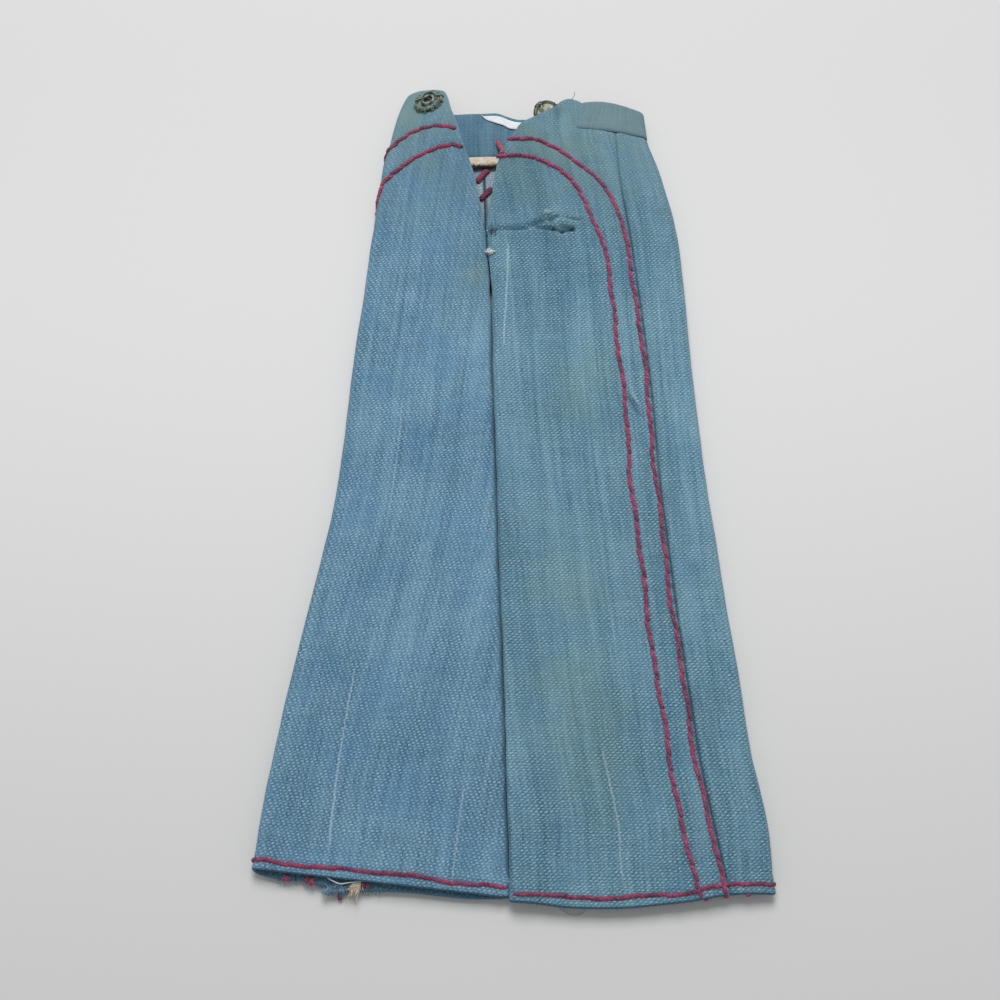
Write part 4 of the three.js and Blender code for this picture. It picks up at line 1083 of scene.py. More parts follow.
left_leg.denim = denim(
    "denim_left",
    (46, 86, 111),
    (137, 176, 199),
    lean=(-0.11, 0.0009),
    floats=(0.7, 0.75),
    weave=0.8,
    streaks=0.7,
    flecks=0.7,
    blue=0.28,
    greens=((-26, 128, 7, 9, 0.4), (-4, 172, 8, 6, 0.8)),
    slubs=(
        ((-13.9, 8), (-12.2, 45.3), 0.55),
        ((-37, 3.5), (-37.2, 22), 0.42),
        ((-11.9, 70), (-11.5, 101), 0.3),
    ),
)
right_leg.denim = denim(
    "denim_right",
    (46, 87, 106),
    (134, 173, 190),
    lean=(-0.02, 0.0),
    streaks=0.75,
    blue=0.18,
    strip_light=0.08,
    greens=(
        (33, 38, 8, 13, 0.34),
        (30, 62, 8, 11, 0.28),
        (23.5, 102, 7, 9, 0.3),
        (31, 22, 7, 9, 0.22),
        (22, 160, 14, 6, 0.3),
    ),
    slubs=(((28, 2.6), (28.6, 29.9), 0.5), ((39.5, 110), (37.0, 137), 0.6)),
)
denim_wrong = denim("denim_wrong", (100, 126, 142), (186, 200, 206), (226, 228, 226), top_grey_and_shade=0.1)
denim_facing = denim(
    "denim_facing", (52, 88, 110), (112, 146, 164), (140, 168, 182), weave=0.4, blue=0.3, top_grey_and_shade=0.0
)
denim_band = denim(
    "denim_band", (78, 106, 116), (130, 156, 164), (150, 172, 178), weave=0.3, streaks=0.7, top_grey_and_shade=0.7
)
left_leg.red = thread_material("red_thread_left", (98, 40, 66), (160, 58, 90), (194, 138, 158))
right_leg.red = thread_material("red_thread_right", (90, 38, 70), (150, 54, 94), (192, 138, 164))
red_hem = thread_material("red_thread_hem", (94, 36, 66), (146, 52, 90), (182, 120, 146))
cream = tape_material("cream_edge", (214, 202, 182), (186, 170, 150), (234, 228, 216))
white = tape_material("white_tape", (232, 236, 240), (210, 218, 226), (246, 248, 250))
white_thread = thread_material("white_thread", (178, 192, 198), (214, 220, 222), (236, 238, 238))
blue_thread = thread_material("blue_thread", (70, 106, 132), (118, 152, 172), (178, 200, 210))
dark_thread = thread_material("dark_thread", (72, 96, 90), (118, 140, 132), (156, 168, 160))
black_thread = thread_material("black_thread", (26, 34, 32), (48, 58, 54), (90, 98, 90))
steel = metal_material("dark_steel", (140, 150, 142), (62, 72, 66), (104, 130, 118), 0.6, 900)
brass = metal_material("brass", (204, 208, 188), (104, 116, 88), (112, 130, 100), 0.45, 620)
dark_brass = metal_material("dark_brass", (88, 94, 72), (56, 64, 50), (70, 80, 60), 0.5, 620)


def bend_at_fold(piece, leg):
    """Bakes the piece's placement into its mesh. The cloth and its rows are not bent at the fold line here."""
    square = fold_square(leg)
    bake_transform(piece)


def settle(piece, slot, carrier, *nodes):
    """Hides the solids that a piece stands for and attaches it to the body that carries it; a piece that
    crosses a leg's fold line only has its placement baked. What it is made of, the slot, is not used."""
    if nodes:
        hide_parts(*nodes)
    if isinstance(carrier, str):
        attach(piece, carrier)
    else:
        bend_at_fold(piece, carrier)


SLIT = 0.02  # left open between the front and the back in the inner fold
BY_SEAM = 0.04


def make_panels():
    """Each panel's stretches round the leg are two places and a number of columns"""
    fronts = (
        (left_leg, ((SLIT, 1, 5), (1, 2, 66), (2, 3, 12), (3, seam_along(left_leg, BY_SEAM), 12))),
        (right_leg, ((SLIT, 1, 5), (1, 1.5, 84), (1.5, seam_along(right_leg, -BY_SEAM), 40))),
    )
    backs = (
        (left_leg, ((seam_along(left_leg, -BY_SEAM), 4, 52), (4, 5 - SLIT, 5))),
        (right_leg, ((seam_along(right_leg, BY_SEAM), 2, 14), (2, 3, 12), (3, 4, 62), (4, 5 - SLIT, 5))),
    )
    for leg, stretches in fronts:
        piece = leg_panel(f"{leg.name}_front_cloth", leg, stretches, front_top)
        settle(piece, "denim", leg, f"front_panel_{leg.name}", f"fly_flap_{leg.name}")
    for leg, stretches in backs:
        piece = leg_panel(f"{leg.name}_back_cloth", leg, stretches, back_top)
        settle(piece, "denim", "trousers", f"back_panel_{leg.name}")


BAND_BESIDE_FOLD = 1.1
BAND_TURN = BAND_LAYER / 2 + 0.02


def band_start(y):
    """The band begins just beside the right fold line, on the leg"""
    beside = BAND_BESIDE_FOLD / fold_direction(right_leg)[1]
    return front_along(right_leg, fold_x(right_leg, y) + beside, y)


def band_edge(leg, along, x):
    rise = np.sin(math.pi * np.clip((x - 16.5) / 16, 0, 1)) ** 0.8
    return lerp(waist_line(x) + rise, back_waist(x), smooth(along, 2.2, 2.8))


def band_outside(along, heights):
    """The band's outer layer, which sinks a little beside the fold line, and the direction off the leg"""
    plain = plain_point(right_leg, along, heights)
    normal = outward(plain_point, right_leg, along, heights)
    x = plain[..., 0]
    near = np.where(along < 2.5, smooth(-from_fold(right_leg, x, heights), BAND_BESIDE_FOLD, 4.5), 1)
    soft = 0.06 * right_leg.short_waves(x * 0.8, heights) * near * fade(along, 2, 2.6)
    level = (CLOTH - BAND_LAYER) / 2 - lerp(0.3, 0.0, near) - 0.2 * smooth(along, 2, 3) + soft
    return plain + normal * level[..., None], normal


def waist_band():
    """A strip folded over at the waist. It runs from the right fold line, round the right side and across
    the back to the left side."""
    columns = spread((band_start, 2, 30), (2, 3, 12), (3, 4, 46))
    low = crossing(right_leg, columns, lambda leg, along, x: band_line(x))
    high = crossing(right_leg, columns, band_edge)
    heights = lerp(low, high - BAND_TURN, np.linspace(0, 1, 11)[None])
    along = along_at(columns, heights)
    outer, normal = band_outside(along, heights)
    turned = turned_over(outer[:, -1:] - normal[:, -1:] * BAND_TURN, normal[:, -1:], BAND_TURN, 1.0)
    inner = (outer - normal * 2 * BAND_TURN)[:, ::-1]
    grid = np.concatenate([outer, turned, inner], axis=1)
    v = np.concatenate([heights, np.repeat(high, turned.shape[1], axis=1), heights[:, ::-1]], axis=1)
    girth = np.repeat(girth_at(right_leg, along, heights)[:, :1], grid.shape[1], axis=1)
    place = stack(girth, v, 0 * v)
    # The last column goes on straight across the left part of the back
    left_end = -(left_leg.reach(v[-1]) - left_leg.wrap(v[-1]) - 0.1)
    x, y, z = grid[-1].T
    steps = np.linspace(0, 1, 26)[1:]
    grid = np.concatenate([grid, [stack(lerp(x, left_end, step), y, z) for step in steps]])
    place = np.concatenate([place, [place[-1] + (16 * step, 0, 0) for step in steps]])
    thickness = np.full(grid.shape[:2], BAND_LAYER)
    thickness[:, (0, -1)] *= 0.3
    thickness[(0, -1), :] *= 0.3
    piece = sheet("waist_band", grid, thickness, place, (denim_band, denim_band))
    settle(piece, "denim", "trousers", "waistband")


def inside_strip(name, ends, low, high, height, thickness, materials, seed, counts, rough=0.0):
    """A strip of cloth across the inside of the back, slightly wavy. A raw one has a ragged edge."""
    chance = np.random.RandomState(seed)
    surface = waves(seed, 3, 12)
    x = np.linspace(*ends, counts[0])[:, None]
    ragged = chance.uniform(-1, 1, (counts[0], 1)) * rough
    y = lerp(low(x) + ragged, high(x), np.linspace(0, 1, counts[1])[None])
    x = np.broadcast_to(x, y.shape)
    thin = np.ones(y.shape)
    thin[:, (0, -1)] = 0.35
    thin[(0, -1), :] = 0.35
    grid = stack(x, y, height + 0.06 * surface(x, y))
    return sheet(name, grid, thickness * thin, stack(x + 40, y, 0 * x), materials)


def facing_line(x):
    return waist_line(x) - FACING_DEPTH


def inside_strips():
    """The facing, its raw edge and the white tape"""
    facing = inside_strip(
        "inner_facing", (-FACING_LEFT, FACING_RIGHT), facing_line, lambda x: back_waist(x) - SEAM_GAP,
        FACING_HEIGHT, CLOTH, (denim_facing, denim_wrong), 31, (70, 22),
    )
    settle(facing, "denim_inside", "trousers", "waist_facing")

    ends = (EDGE_TAPE_INSET - FACING_LEFT, FACING_RIGHT - EDGE_TAPE_INSET)
    edge = inside_strip(
        "facing_raw_edge", ends, lambda x: facing_line(x) - EDGE_TAPE_DEPTH, lambda x: facing_line(x) + 0.1,
        FACING_HEIGHT + 0.05, CLOTH, (cream, cream), 32, (120, 8), rough=0.18,
    )
    settle(edge, "cream_edge", "trousers", "facing_edge_tape")

    tape_low = curve_through(*zip(*TAPE_LOWER_EDGE))
    tape = inside_strip(
        "white_waist_tape", (TAPE_LOWER_EDGE[0][0], TAPE_LENGTH), tape_low,
        lambda x: np.maximum(back_waist(x) - SEAM_GAP - TAPE_BELOW_WAIST, tape_low(x) + 0.1),
        FACING_HEIGHT + CLOTH / 2 + 0.2, TAPE, (white, white), 33, (48, 10),
    )
    settle(tape, "white_tape", "trousers", "waist_tape")


def tubes(centres, radii, sides, normals=None):
    """Closed round strands. Centres is strands by points by 3 and radii is strands by points."""
    strands, count = centres.shape[:2]
    forward = unit(np.gradient(centres, axis=1))
    if normals is None:
        normals = np.zeros_like(centres)
        normals[..., 2] = 1
        normals[np.abs(forward[..., 2]) > 0.9] = (1, 0, 0)
    side = unit(np.cross(normals, forward))
    up = unit(np.cross(forward, side))
    angle = (np.arange(sides) / sides * FULL_TURN)[None, None, :, None]
    ring = side[:, :, None] * np.cos(angle) + up[:, :, None] * np.sin(angle)
    points = centres[:, :, None] + ring * radii[:, :, None, None]
    index = np.arange(strands * count * sides).reshape(strands, count, sides)
    following = np.roll(index, -1, axis=2)
    quads = np.stack([index[:, :-1], following[:, :-1], following[:, 1:], index[:, 1:]], axis=-1)
    faces = quads.reshape(-1, 4).tolist() + index[:, 0, ::-1].tolist() + index[:, -1].tolist()
    return points.reshape(-1, 3), faces


def joined(parts):
    """Several point and face lists as one"""
    faces = []
    offset = 0
    for points, some_faces in parts:
        faces += [[corner + offset for corner in face] for face in some_faces]
        offset += len(points)
    return np.concatenate([points for points, _ in parts]), faces


def strand(points, radius, sides=8, steps=12):
    """One smooth strand through a few given points"""
    last = len(points) - 1
    centres = path_through(points, np.arange(last + 1), np.linspace(0, last, last * steps + 1))
    share = np.linspace(0, 1, len(centres))
    taper = np.minimum(1, 0.35 + 6 * np.minimum(share, 1 - share))
    return tubes(centres[None], (radius * taper)[None], sides)


ROW_THREAD = SimpleNamespace(length=STITCH, radius=THREAD, slant=0.42, overlap=0.35, depth=0.26, lift=0.06)
HEM_THREAD = SimpleNamespace(length=HEM_STITCH, radius=0.42, slant=0.3, overlap=0.7, depth=0.24, lift=0.1)
SAMPLES = 13  # points along a stitch
PLIES = 3
PLY_TURN = 1.9  # length in which the plies turn once
HAIRS = 2  # for each stitch


def stitch_cores(leg, route, thread, chance, seed):
    """Middle lines of a row's stitches, whose ends go down into the cloth, with their directions"""
    girth, y, travelled = route
    count = max(1, round(travelled[-1] / thread.length))
    length = travelled[-1] / count

    def draw(low, high):
        return chance.uniform(low, high, (count, 1))

    t = np.linspace(0, 1, SAMPLES)[None]
    starts = np.arange(count)[:, None] * length + draw(-0.16, 0.16)
    place = starts + t * (length + thread.overlap + draw(-0.1, 0.12))
    wobble = 0.16 * np.sin(place / 2.3 + seed) + 0.14 * np.sin(place / 5.1 + 2 * seed)
    sideways = wobble + thread.slant * (0.5 - t) * draw(0.5, 1.25) + draw(-0.08, 0.08)
    g, g_before, g_after = (np.interp(place + step, travelled, girth) for step in (0, -0.4, 0.4))
    h, h_before, h_after = (np.interp(place + step, travelled, y) for step in (0, -0.4, 0.4))
    dg, dh = g_after - g_before, h_after - h_before
    size = np.maximum(np.hypot(dg, dh), 1e-6)
    g = g - dh / size * sideways
    h = h + dg / size * sideways
    along = girth_along(leg, g, h)
    normal = outward(plain_point, leg, along, h)
    rise = thread.lift + CLOTH / 2 + 0.1 - (thread.depth + 0.1) * np.abs(2 * t - 1) ** 5
    rise = rise + draw(-0.05, 0.05) * (1 - (2 * t - 1) ** 2)
    core = cloth_point(leg, along, h) + normal * rise[..., None]
    forward = unit(np.gradient(core, axis=1))
    size = draw(0.92, 1.08) * (1 - 0.3 * np.abs(2 * t - 1) ** 6)
    return core, forward, unit(np.cross(normal, forward)), normal, place, size


def stitch_mesh(leg, route, thread, seed):
    """A row of stitches, each a short twist of plies, with a few hairs"""
    chance = np.random.RandomState(seed)
    core, forward, across, normal, place, size = stitch_cores(leg, route, thread, chance, seed)
    parts = []
    for ply in range(PLIES):
        angle = (place / PLY_TURN * FULL_TURN + ply * FULL_TURN / PLIES)[..., None]
        twist = thread.radius * 0.5 * (np.cos(angle) * across + 0.75 * np.sin(angle) * normal)
        parts.append(tubes(core + twist, thread.radius * 0.56 * size, 7, normal))
    hairs = HAIRS * len(core)
    spot = chance.randint(0, len(core), hairs), chance.randint(2, SAMPLES - 2, hairs)

    def draw(low, high, *more):
        return chance.uniform(low, high, (hairs, 1, *more))

    direction = across[spot] * draw(-1, 1) + normal[spot] * draw(0.1, 0.9) + forward[spot] * draw(-0.8, 0.8)
    curl = forward[spot] * draw(-0.5, 0.5) - normal[spot] * 0.3
    s = np.linspace(0, 1, 5)[None, :, None]
    reach = draw(0.5, 1.0, 1)
    lines = core[spot][:, None] + unit(direction)[:, None] * s * reach + curl[:, None] * s * s * reach * 0.6
    parts.append(tubes(lines, np.repeat(np.linspace(0.03, 0.012, 5)[None], hairs, 0), 3))
    return joined(parts)


def topstitching():
    for leg, seed in ((left_leg, 40), (right_leg, 50)):
        for kind, row in zip(("outer", "inner"), leg.rows):
            points, faces = stitch_mesh(leg, evenly(*row[:2]), ROW_THREAD, seed + (kind == "inner"))
            piece = make_mesh(f"{kind}_stitches_{leg.name}", points, faces, (leg.red,))
            settle(piece, "red_thread", leg, f"{kind}_row_{leg.name}", f"{kind}_row_{leg.name}_flap")


def hem_route(leg):
    """The hem's stitch row round the leg, clear of the other leg"""
    along = np.linspace(0.7, 4.0, 720)
    y = np.full(along.shape, 3.0)
    for _ in range(8):
        y = hem_at(leg, along, plain_point(leg, along, y)[..., 0]) + HEM_INSET
    return evenly(girth_at(leg, along, y), y)


def hem_stitching():
    for leg, seed in ((left_leg, 60), (right_leg, 70)):
        points, faces = stitch_mesh(leg, hem_route(leg), HEM_THREAD, seed)
        piece = make_mesh(f"hem_stitches_{leg.name}", points, faces, (red_hem,))
        settle(piece, "red_thread", "trousers", f"hem_stitch_{leg.name}")


def fibres(name, centres, seed, count, reach, radius, material, slot="denim", flat=0.5):
    """Short loose fibres that stand away from given places, each a place and a direction"""
    chance = np.random.RandomState(seed)
    centres = np.asarray(centres, float)
    pick = chance.randint(0, len(centres), count)
    base = centres[pick, :3] + chance.normal(0, 0.15, (count, 3)) * (1, 1, 0.3)
    direction = unit(centres[pick, 3:] + chance.normal(0, flat, (count, 3)) * (1, 1, 0.5))
    bend = chance.normal(0, 0.5, (count, 3)) * (1, 1, 0.4)
    s = np.linspace(0, 1, 7)[None, :, None]
    long = chance.uniform(0.35, 1, (count, 1, 1)) * reach
    lines = base[:, None] + direction[:, None] * s * long + bend[:, None] * s * s * long * 0.6
    lines[..., 2] = np.maximum(lines[..., 2], 0.06)
    thin = np.linspace(1, 0.5, 7)[None] * chance.uniform(0.7, 1.2, (count, 1)) * radius
    points, faces = tubes(lines, thin, 4)
    settle(make_mesh(name, points, faces, (material,)), slot, "trousers")


STROKES = (((-5.1, 152.7), (-2.6, 155.8)), ((-4.2, 148.2), (-1.8, 151.1)))
STROKE_PLIES = 5
STROKE_TWIST = 0.42  # from the middle of a stroke to its plies
STROKE_PLY = 0.26
STROKE_TURNS = 1.3


def zigzag_stitches():
    """Overcast stitches along the centre back seam. The slanting strokes lie on the inside of the cloth and
    the thread goes back under it between them."""
    parts = []
    t = np.linspace(0, 1, 17)
    for low, high in STROKES:
        start, end = np.array([*low, 0.0]), np.array([*high, 0.0])
        core = start + (end - start) * t[:, None]
        core[:, 2] = CLOTH + 0.42 - 0.5 * np.abs(2 * t - 1) ** 5
        forward = unit(end - start)
        side = np.array([-forward[1], forward[0], 0.0])
        for ply in range(STROKE_PLIES):
            angle = t * FULL_TURN * STROKE_TURNS + ply * FULL_TURN / STROKE_PLIES
            centre = core + STROKE_TWIST * np.cos(angle)[:, None] * side
            centre[:, 2] += 0.2 * np.sin(angle)
            parts.append(tubes(centre[None], np.full((1, len(t)), STROKE_PLY), 7))
    (foot, _), (_, head) = STROKES
    under = ((head[0] + foot[0]) / 2, (head[1] + foot[1]) / 2, 0.22)
    parts.append(strand([(*head, 0.3), under, (*foot, 0.3)], 0.1))
    piece = make_mesh("zigzag_stitches", *joined(parts), (red_hem,))
    settle(piece, "red_thread", "trousers", "back_seam_zigzag")


KNOT_PLACE = (-2.3, 133.5, 4.0)
KNOT_STRANDS = 26


def fly_knot():
    """A whitish tack of tangled thread at the foot of the fly"""
    chance = np.random.RandomState(91)
    parts = []
    for _ in range(KNOT_STRANDS):
        start = KNOT_PLACE + chance.normal(0, 1, 3) * (0.55, 0.22, 0.08)
        end = KNOT_PLACE + chance.normal(0, 1, 3) * (0.6, 0.3, 0.08)
        peak = (start + end) / 2 + np.array([0, 0, chance.uniform(0.05, 0.3)])
        peak = peak + chance.normal(0, 0.15, 3) * (1, 1, 0)
        parts.append(strand([start, peak, end], chance.uniform(0.07, 0.13), 6, 6))
    settle(make_mesh("fly_knot", *joined(parts), (white_thread,)), "white_tape", "trousers", "fly_tack")
    fibres("fly_knot_fuzz", [(*KNOT_PLACE, 0, 0, 0.3)], 92, 90, 1.0, 0.03, white_thread, "white_tape", 0.8)


def on_circle(radius, angle):
    return radius * math.cos(angle), radius * math.sin(angle)


def lathe(profile, closed):
    """A turned solid. A closed profile is a ring's section, and an open one starts and ends on the axis."""
    angle = np.arange(LATHE_SEGMENTS) / LATHE_SEGMENTS * FULL_TURN
    rings = [stack(r * np.cos(angle), r * np.sin(angle), np.full(LATHE_SEGMENTS, z)) for r, z in profile]
    rows = len(profile)
    index = np.arange(rows * LATHE_SEGMENTS).reshape(rows, LATHE_SEGMENTS)
    faces = []
    for i in range(rows if closed else rows - 1):
        a, b = index[i], index[(i + 1) % rows]
        faces += np.stack([a, np.roll(a, -1), np.roll(b, -1), b], axis=1).tolist()
    if not closed:
        faces += [index[0][::-1].tolist(), index[-1].tolist()]
    return np.concatenate(rings), faces


def rim_profile():
    half = RIM_WIDTH / 2
    arc = [on_circle(half, angle) for angle in np.linspace(0, math.pi, 9)]
    rolled = [(SNAP_RADIUS - half + out, RIM_HEIGHT - half + up) for out, up in arc]
    return [(SNAP_RADIUS - half / 2, 0), *rolled, (SNAP_RADIUS - RIM_WIDTH, PLATE)]


def hole_angle(i):
    return (i + 0.5) / HOLES * FULL_TURN


def cut_holes(piece):
    """Cuts the four sewing holes into a piece that is still round the origin"""
    cutter_mesh = bpy.data.meshes.new("cutter")
    shape = bmesh.new()
    radius = HOLE_RADIUS * MM
    for i in range(HOLES):
        made = bmesh.ops.create_cone(
            shape, cap_ends=True, segments=24, radius1=radius, radius2=radius, depth=3 * MM
        )
        move = Vector((*on_circle(HOLE_CIRCLE, hole_angle(i)), 0)) * MM
        bmesh.ops.translate(shape, verts=made["verts"], vec=move)
    shape.to_mesh(cutter_mesh)
    shape.free()
    cutter = link_object("cutter", cutter_mesh)
    modifier = piece.modifiers.new("holes", "BOOLEAN")
    modifier.operation = "DIFFERENCE"
    modifier.solver = "EXACT"
    modifier.object = cutter
    bpy.context.view_layer.update()
    result = bpy.data.meshes.new_from_object(piece.evaluated_get(bpy.context.evaluated_depsgraph_get()))
    piece.modifiers.clear()
    piece.data = result
    bpy.data.objects.remove(cutter)


def snap_place(leg, plan, facing):
    """The snap's origin and its three directions, on the flap's outer or inner side"""
    x, y = plan
    reach = SNAP_RADIUS * 0.8
    low, high = front_height(leg, x, np.array([y - reach, y + reach]))
    left, right = front_height(leg, np.array([x - reach, x + reach]), y)
    normal = unit(np.array([left - right, low - high, 2 * reach])) * facing
    x_axis = unit(np.array([1.0, 0, 0]) - normal * normal[0])
    centre = np.array([x, y, (low + high) / 2])
    return centre + normal * (CLOTH / 2 + LAYER_GAP), stack(x_axis, np.cross(normal, x_axis), normal).T


def placed(points, place):
    origin, axes = place
    return np.asarray(points) @ axes + origin


def snap_half(name, profile, closed, place, metals, on_rim=None):
    """A turned half of the snap, drilled round the origin in metres and then moved to its place"""
    points, faces = lathe(profile, closed)
    piece = make_mesh(name, points, faces, metals, on_rim)
    piece.data.vertices.foreach_set("co", (points * MM).ravel())
    piece.data.update()
    cut_holes(piece)
    points = np.zeros(len(piece.data.vertices) * 3)
    piece.data.vertices.foreach_get("co", points)
    points = placed(points.reshape(-1, 3) / MM, place) * MM + SHIFT
    piece.data.vertices.foreach_set("co", points.ravel())
    piece.data.update()
    return piece


def socket_half(place):
    profile = [
        (SOCKET_BORE, 0),
        *rim_profile(),
        (SOCKET_BOSS + 0.16, PLATE),
        (SOCKET_BOSS + 0.04, PLATE + 0.08),
        (SOCKET_BOSS, BOSS_HEIGHT - 0.16),
        (SOCKET_BOSS - 0.06, BOSS_HEIGHT - 0.05),
        (SOCKET_BOSS - 0.16, BOSS_HEIGHT),
        (SOCKET_BORE + 0.08, BOSS_HEIGHT),
        (SOCKET_BORE, BOSS_HEIGHT - 0.08),
    ]
    piece = snap_half("socket_half", profile, True, place, (steel,))
    settle(piece, "dark_steel", "flap_left", "snap_socket")


def socket_spring(place):
    middle = BOSS_HEIGHT / 2
    bend = [(*on_circle(SPRING_GRIP, angle), middle) for angle in np.linspace(-math.pi / 2, math.pi / 2, 9)]
    back = -SPRING_GRIP / 2
    route = [(back, -SPRING_GRIP, middle), *bend, (back, SPRING_GRIP, middle)]
    points, faces = strand(route, SPRING_WIRE, 10, 4)
    piece = make_mesh("socket_spring", placed(points, place), faces, (steel,))
    settle(piece, "dark_steel", "flap_left", "snap_spring")


def ball_half(place):
    waist = math.asin(BALL_NECK / BALL_RADIUS)
    centre = PLATE + BALL_NECK_HEIGHT + BALL_RADIUS * math.cos(waist)
    step = [(SNAP_RADIUS - 0.85, 0.08), (SNAP_RADIUS - 0.7, 0)]
    back = [(0.02, 0.16), (BALL_NECK, 0.12), (BALL_RADIUS, 0.08), *step]
    arc = [on_circle(BALL_RADIUS, angle) for angle in np.linspace(math.pi - waist, 0.05, 12)]
    ball = [(out, centre + up) for up, out in arc]
    profile = [*back, *rim_profile(), (BALL_NECK + PLATE, PLATE), *ball]
    radii = np.array(profile)[:, 0]
    on_rim = np.minimum(radii[1:], radii[:-1]) > SNAP_RADIUS - 0.9
    on_rim = np.concatenate([np.repeat(on_rim, LATHE_SEGMENTS), (0, 0)])
    piece = snap_half("ball_half", profile, False, place, (brass, dark_brass), on_rim)
    settle(piece, "brass", "flap_right", "snap_ball")


def snap_threads(kind, place, body, seed, strands, material, slack, foot):
    """The sewing threads of a snap half: several strands over the rim from each hole"""
    chance = np.random.RandomState(seed)
    for i in range(HOLES):
        parts = []
        for k in range(strands):
            turn = hole_angle(i) + (k - (strands - 1) / 2) * 0.15 + chance.uniform(-0.05, 0.05)
            hole = np.array(on_circle(HOLE_CIRCLE, hole_angle(i))) + chance.uniform(-0.12, 0.12, 2)
            out = np.array(on_circle(1, turn))
            rise = chance.uniform(0.1, 0.24)
            far = SNAP_RADIUS + chance.uniform(*slack)
            route = [
                (*hole, -0.1),
                (*(hole * 1.02 + out * 0.06), PLATE + rise),
                (*(out * (SNAP_RADIUS - 0.32)), RIM_HEIGHT + rise),
                (*(out * (SNAP_RADIUS + 0.02)), RIM_HEIGHT + rise * 0.7),
                (*(out * far), RIM_HEIGHT * 0.4),
                (*(out * far * 1.02), foot),
            ]
            parts.append(strand(route, chance.uniform(0.11, 0.15), 7, 5))
        points, faces = joined(parts)
        piece = make_mesh(f"{kind}_threads_{i + 1}", placed(points, place), faces, (material,))
        settle(piece, "green_thread", body, f"snap_{kind}_stitch_{i + 1}")


def snap_halves():
    left = snap_place(left_leg, SOCKET_PLAN, 1)
    socket_half(left)
    socket_spring(left)
    snap_threads("socket", left, "flap_left", 101, 8, dark_thread, (0.12, 0.42), -0.3)
    right = snap_place(right_leg, BALL_PLAN, -1)
    ball_half(right)
    snap_threads("ball", right, "flap_right", 102, 4, black_thread, (0.0, 0.06), 0.0)


# Thread ends that the photograph shows at the hems and the fly
RED_TAIL = (
    (-0.7, 162.1, 2.8), (-0.2, 160.7, 2.9), (0.3, 159.2, 3.8),
    (0.8, 157.7, 5.3), (0.6, 156.6, 6.4), (0.0, 155.9, 6.6),
)
LEFT_LOOP = ((-31.9, 5.1, 2.3), (-30.4, 4.2, 2.2), (-29.1, 3.75, 2.1), (-27.6, 3.95, 2.2), (-25.0, 4.2, 2.2))
RIGHT_LOOP = ((8.4, 1.4, 0.9), (10.6, -0.4, 0.3), (13.0, -1.7, 0.2), (15.2, -1.3, 0.2), (17.0, 0.6, 0.8))
WAIST_FIBRE = ((15.6, 170.2, 5.6), (16.3, 171.4, 5.8), (16.4, 172.6, 5.6))
# Places of the cut red ends below the hems, and how many ends each has
RED_ENDS = (
    (-39.0, 4.9, 1.3, 5), (-35.1, 4.8, 1.6, 6), (-34.4, 4.3, 1.6, 6),
    (-29.3, 1.7, 0.6, 4), (-25.0, 3.7, 1.7, 5), (-24.1, 3.7, 1.7, 5),
    (37.3, 1.5, 2.4, 4), (41.4, 1.9, 2.4, 4), (45.2, 2.2, 2.3, 4),
)


def loose_threads():
    raw_edge = [(x, float(facing_line(x)) - EDGE_TAPE_DEPTH - 0.2, 1.3) for x in np.linspace(-8, 1, 10)]
    strands = (
        ("red_tail", RED_TAIL, 0.52, left_leg.red, "red_thread", "flap_right"),
        ("left_hem_loop", LEFT_LOOP, 0.13, white_thread, "white_tape", "trousers"),
        ("right_hem_loop", RIGHT_LOOP, 0.1, white_thread, "white_tape", "trousers"),
        ("waist_fibre", WAIST_FIBRE, 0.07, dark_thread, "denim", "flap_right"),
        # A dark thread along the facing's raw edge, made thick enough to stand in also for a painted shadow
        # under the edge
        ("edge_thread_and_shadow", raw_edge, 0.22, black_thread, "green_thread", "trousers"),
    )
    for name, points, radius, material, slot, body in strands:
        settle(make_mesh(name, *strand(points, radius), (material,)), slot, body)


def frayed_edges():
    """Fibres at the hems and below the facing: places and directions, a seed, a number and sizes"""
    peek = [(x, float(back_hem_line(left_leg, x)) + 0.1, 0.9, 0, -1, 0) for x in np.linspace(-42, -22, 60)]
    lump = [(x, 2.7 + 0.3 * math.sin(x), 1.7, 0, -0.5, 0) for x in np.linspace(-32.0, -28.4, 14)]
    bit = [(x, 4.0, 1.9, -0.45, -1, -0.1) for x in np.linspace(-26.7, -25.5, 6)]
    raw_x = np.linspace(-9, 2, 60)
    raw_y = facing_line(raw_x) - EDGE_TAPE_DEPTH + 0.5
    raw = [(x, float(y), FACING_HEIGHT + 0.2, 0, -1, 0.1) for x, y in zip(raw_x, raw_y)]
    right_edge = [(x, float(hem_line(right_leg, x)), 2.4, 0, -1, 0) for x in np.linspace(4, 48, 90)]
    fibres("left_hem_fray", peek, 111, 170, 1.5, 0.045, blue_thread)
    fibres("left_hem_lump", lump, 112, 300, 1.0, 0.11, blue_thread, flat=0.9)
    fibres("left_hem_raw_bit", bit, 113, 110, 2.3, 0.12, cream, "cream_edge", 0.16)
    fibres("facing_fray", raw, 114, 240, 0.7, 0.05, cream, "cream_edge", 0.35)
    fibres("right_hem_fuzz", right_edge, 115, 130, 0.7, 0.03, blue_thread)


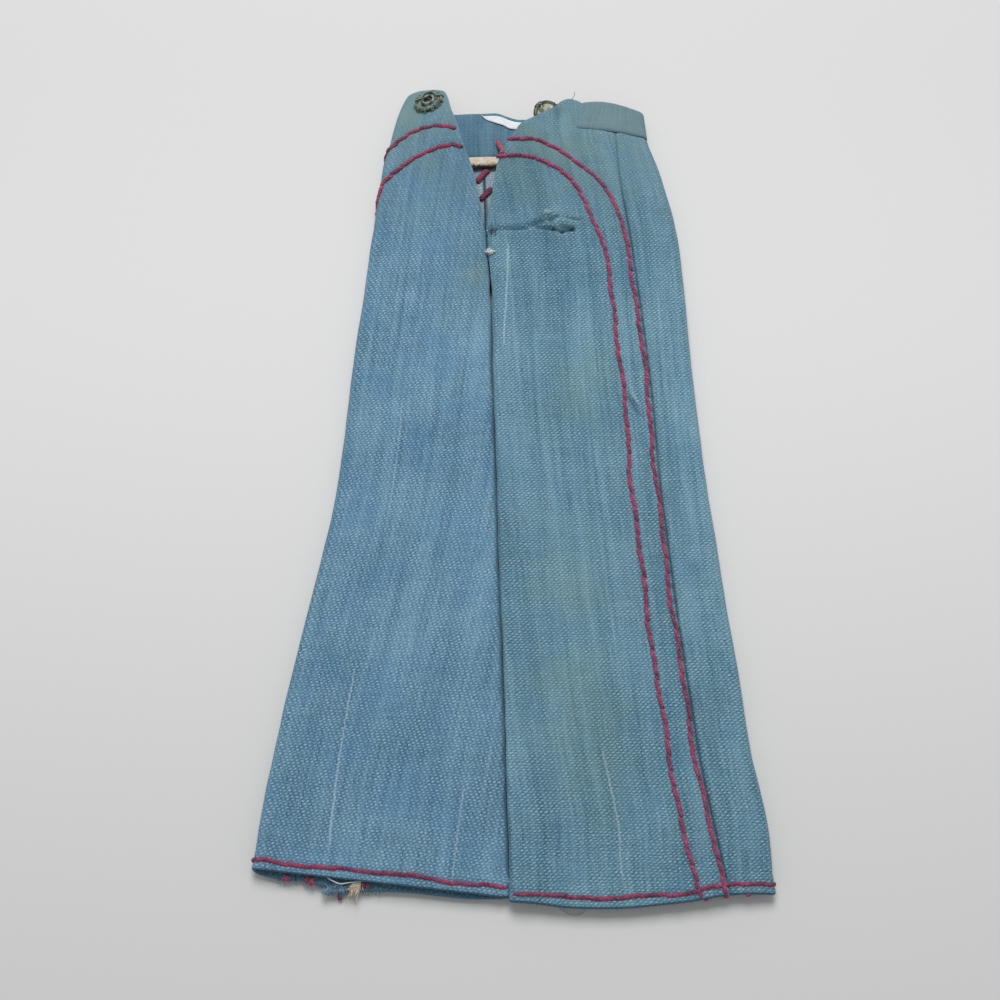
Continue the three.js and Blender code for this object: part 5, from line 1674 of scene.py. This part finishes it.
def red_ends():
    """Cut ends of the red thread below the hems"""
    chance = np.random.RandomState(121)
    parts = []
    for x, y, height, count in RED_ENDS:
        for _ in range(count):
            tip = np.array([x, y - 0.6, height]) + chance.normal(0, 1, 3) * (0.3, 0.15, 0.1)
            start = np.array([x, y + 0.7, height]) + chance.normal(0, 1, 3) * (0.25, 0.15, 0.05)
            parts.append(strand([start, (x, y + 0.1, height + 0.3), tip], 0.3, 6, 5))
    settle(make_mesh("red_thread_ends", *joined(parts), (red_hem,)), "red_thread", "trousers")


FLOOR_REACH = 1500
FLOOR_LINES = 41
SKY = 0.4  # strength of the light from all sides
LAMP_PLACE = (-0.02, 0.4, 0.62)
LAMP_SIZE = 0.38
LAMP_POWER = 4.25


def make_floor():
    lines = np.linspace(-FLOOR_REACH, FLOOR_REACH, FLOOR_LINES)
    grid = [(x, y, -0.03) for x in lines for y in lines]
    n = Nodes("floor", 0.9, specular=0.1)
    place = n.place()
    y = n.split(place)[1]
    # Painted shade: the floor is darker towards the camera and a little darker far behind, standing in for
    # the lamp's uneven light
    colour = n.mix(n.ramp(y, -0.13, 0.02), (209, 210, 209), (219, 219, 219))
    colour = n.mix(n.ramp(y, 0.02, 0.12), colour, (211, 211, 211))
    material = n.finish(colour, n.noise(place, 900.0, 2.0), 0.03, 0.0002)
    make_mesh("floor", grid, grid_faces(FLOOR_LINES, FLOOR_LINES).tolist(), (material,))


def make_light():
    world = bpy.data.worlds.new("world")
    bpy.context.scene.world = world
    world.use_nodes = True
    background = world.node_tree.nodes["Background"]
    background.inputs["Color"].default_value = (1, 1, 1, 1)
    background.inputs["Strength"].default_value = SKY
    data = bpy.data.lights.new("key", "AREA")
    data.shape = "SQUARE"
    data.size = LAMP_SIZE
    data.energy = LAMP_POWER
    lamp = link_object("key", data)
    lamp.location = LAMP_PLACE
    lamp.rotation_euler = (-lamp.location).to_track_quat("-Z", "Y").to_euler()
    bpy.context.scene.view_settings.view_transform = "Standard"


make_panels()
waist_band()
inside_strips()
topstitching()
hem_stitching()
zigzag_stitches()
fly_knot()
snap_halves()
loose_threads()
frayed_edges()
red_ends()
make_floor()
make_light()
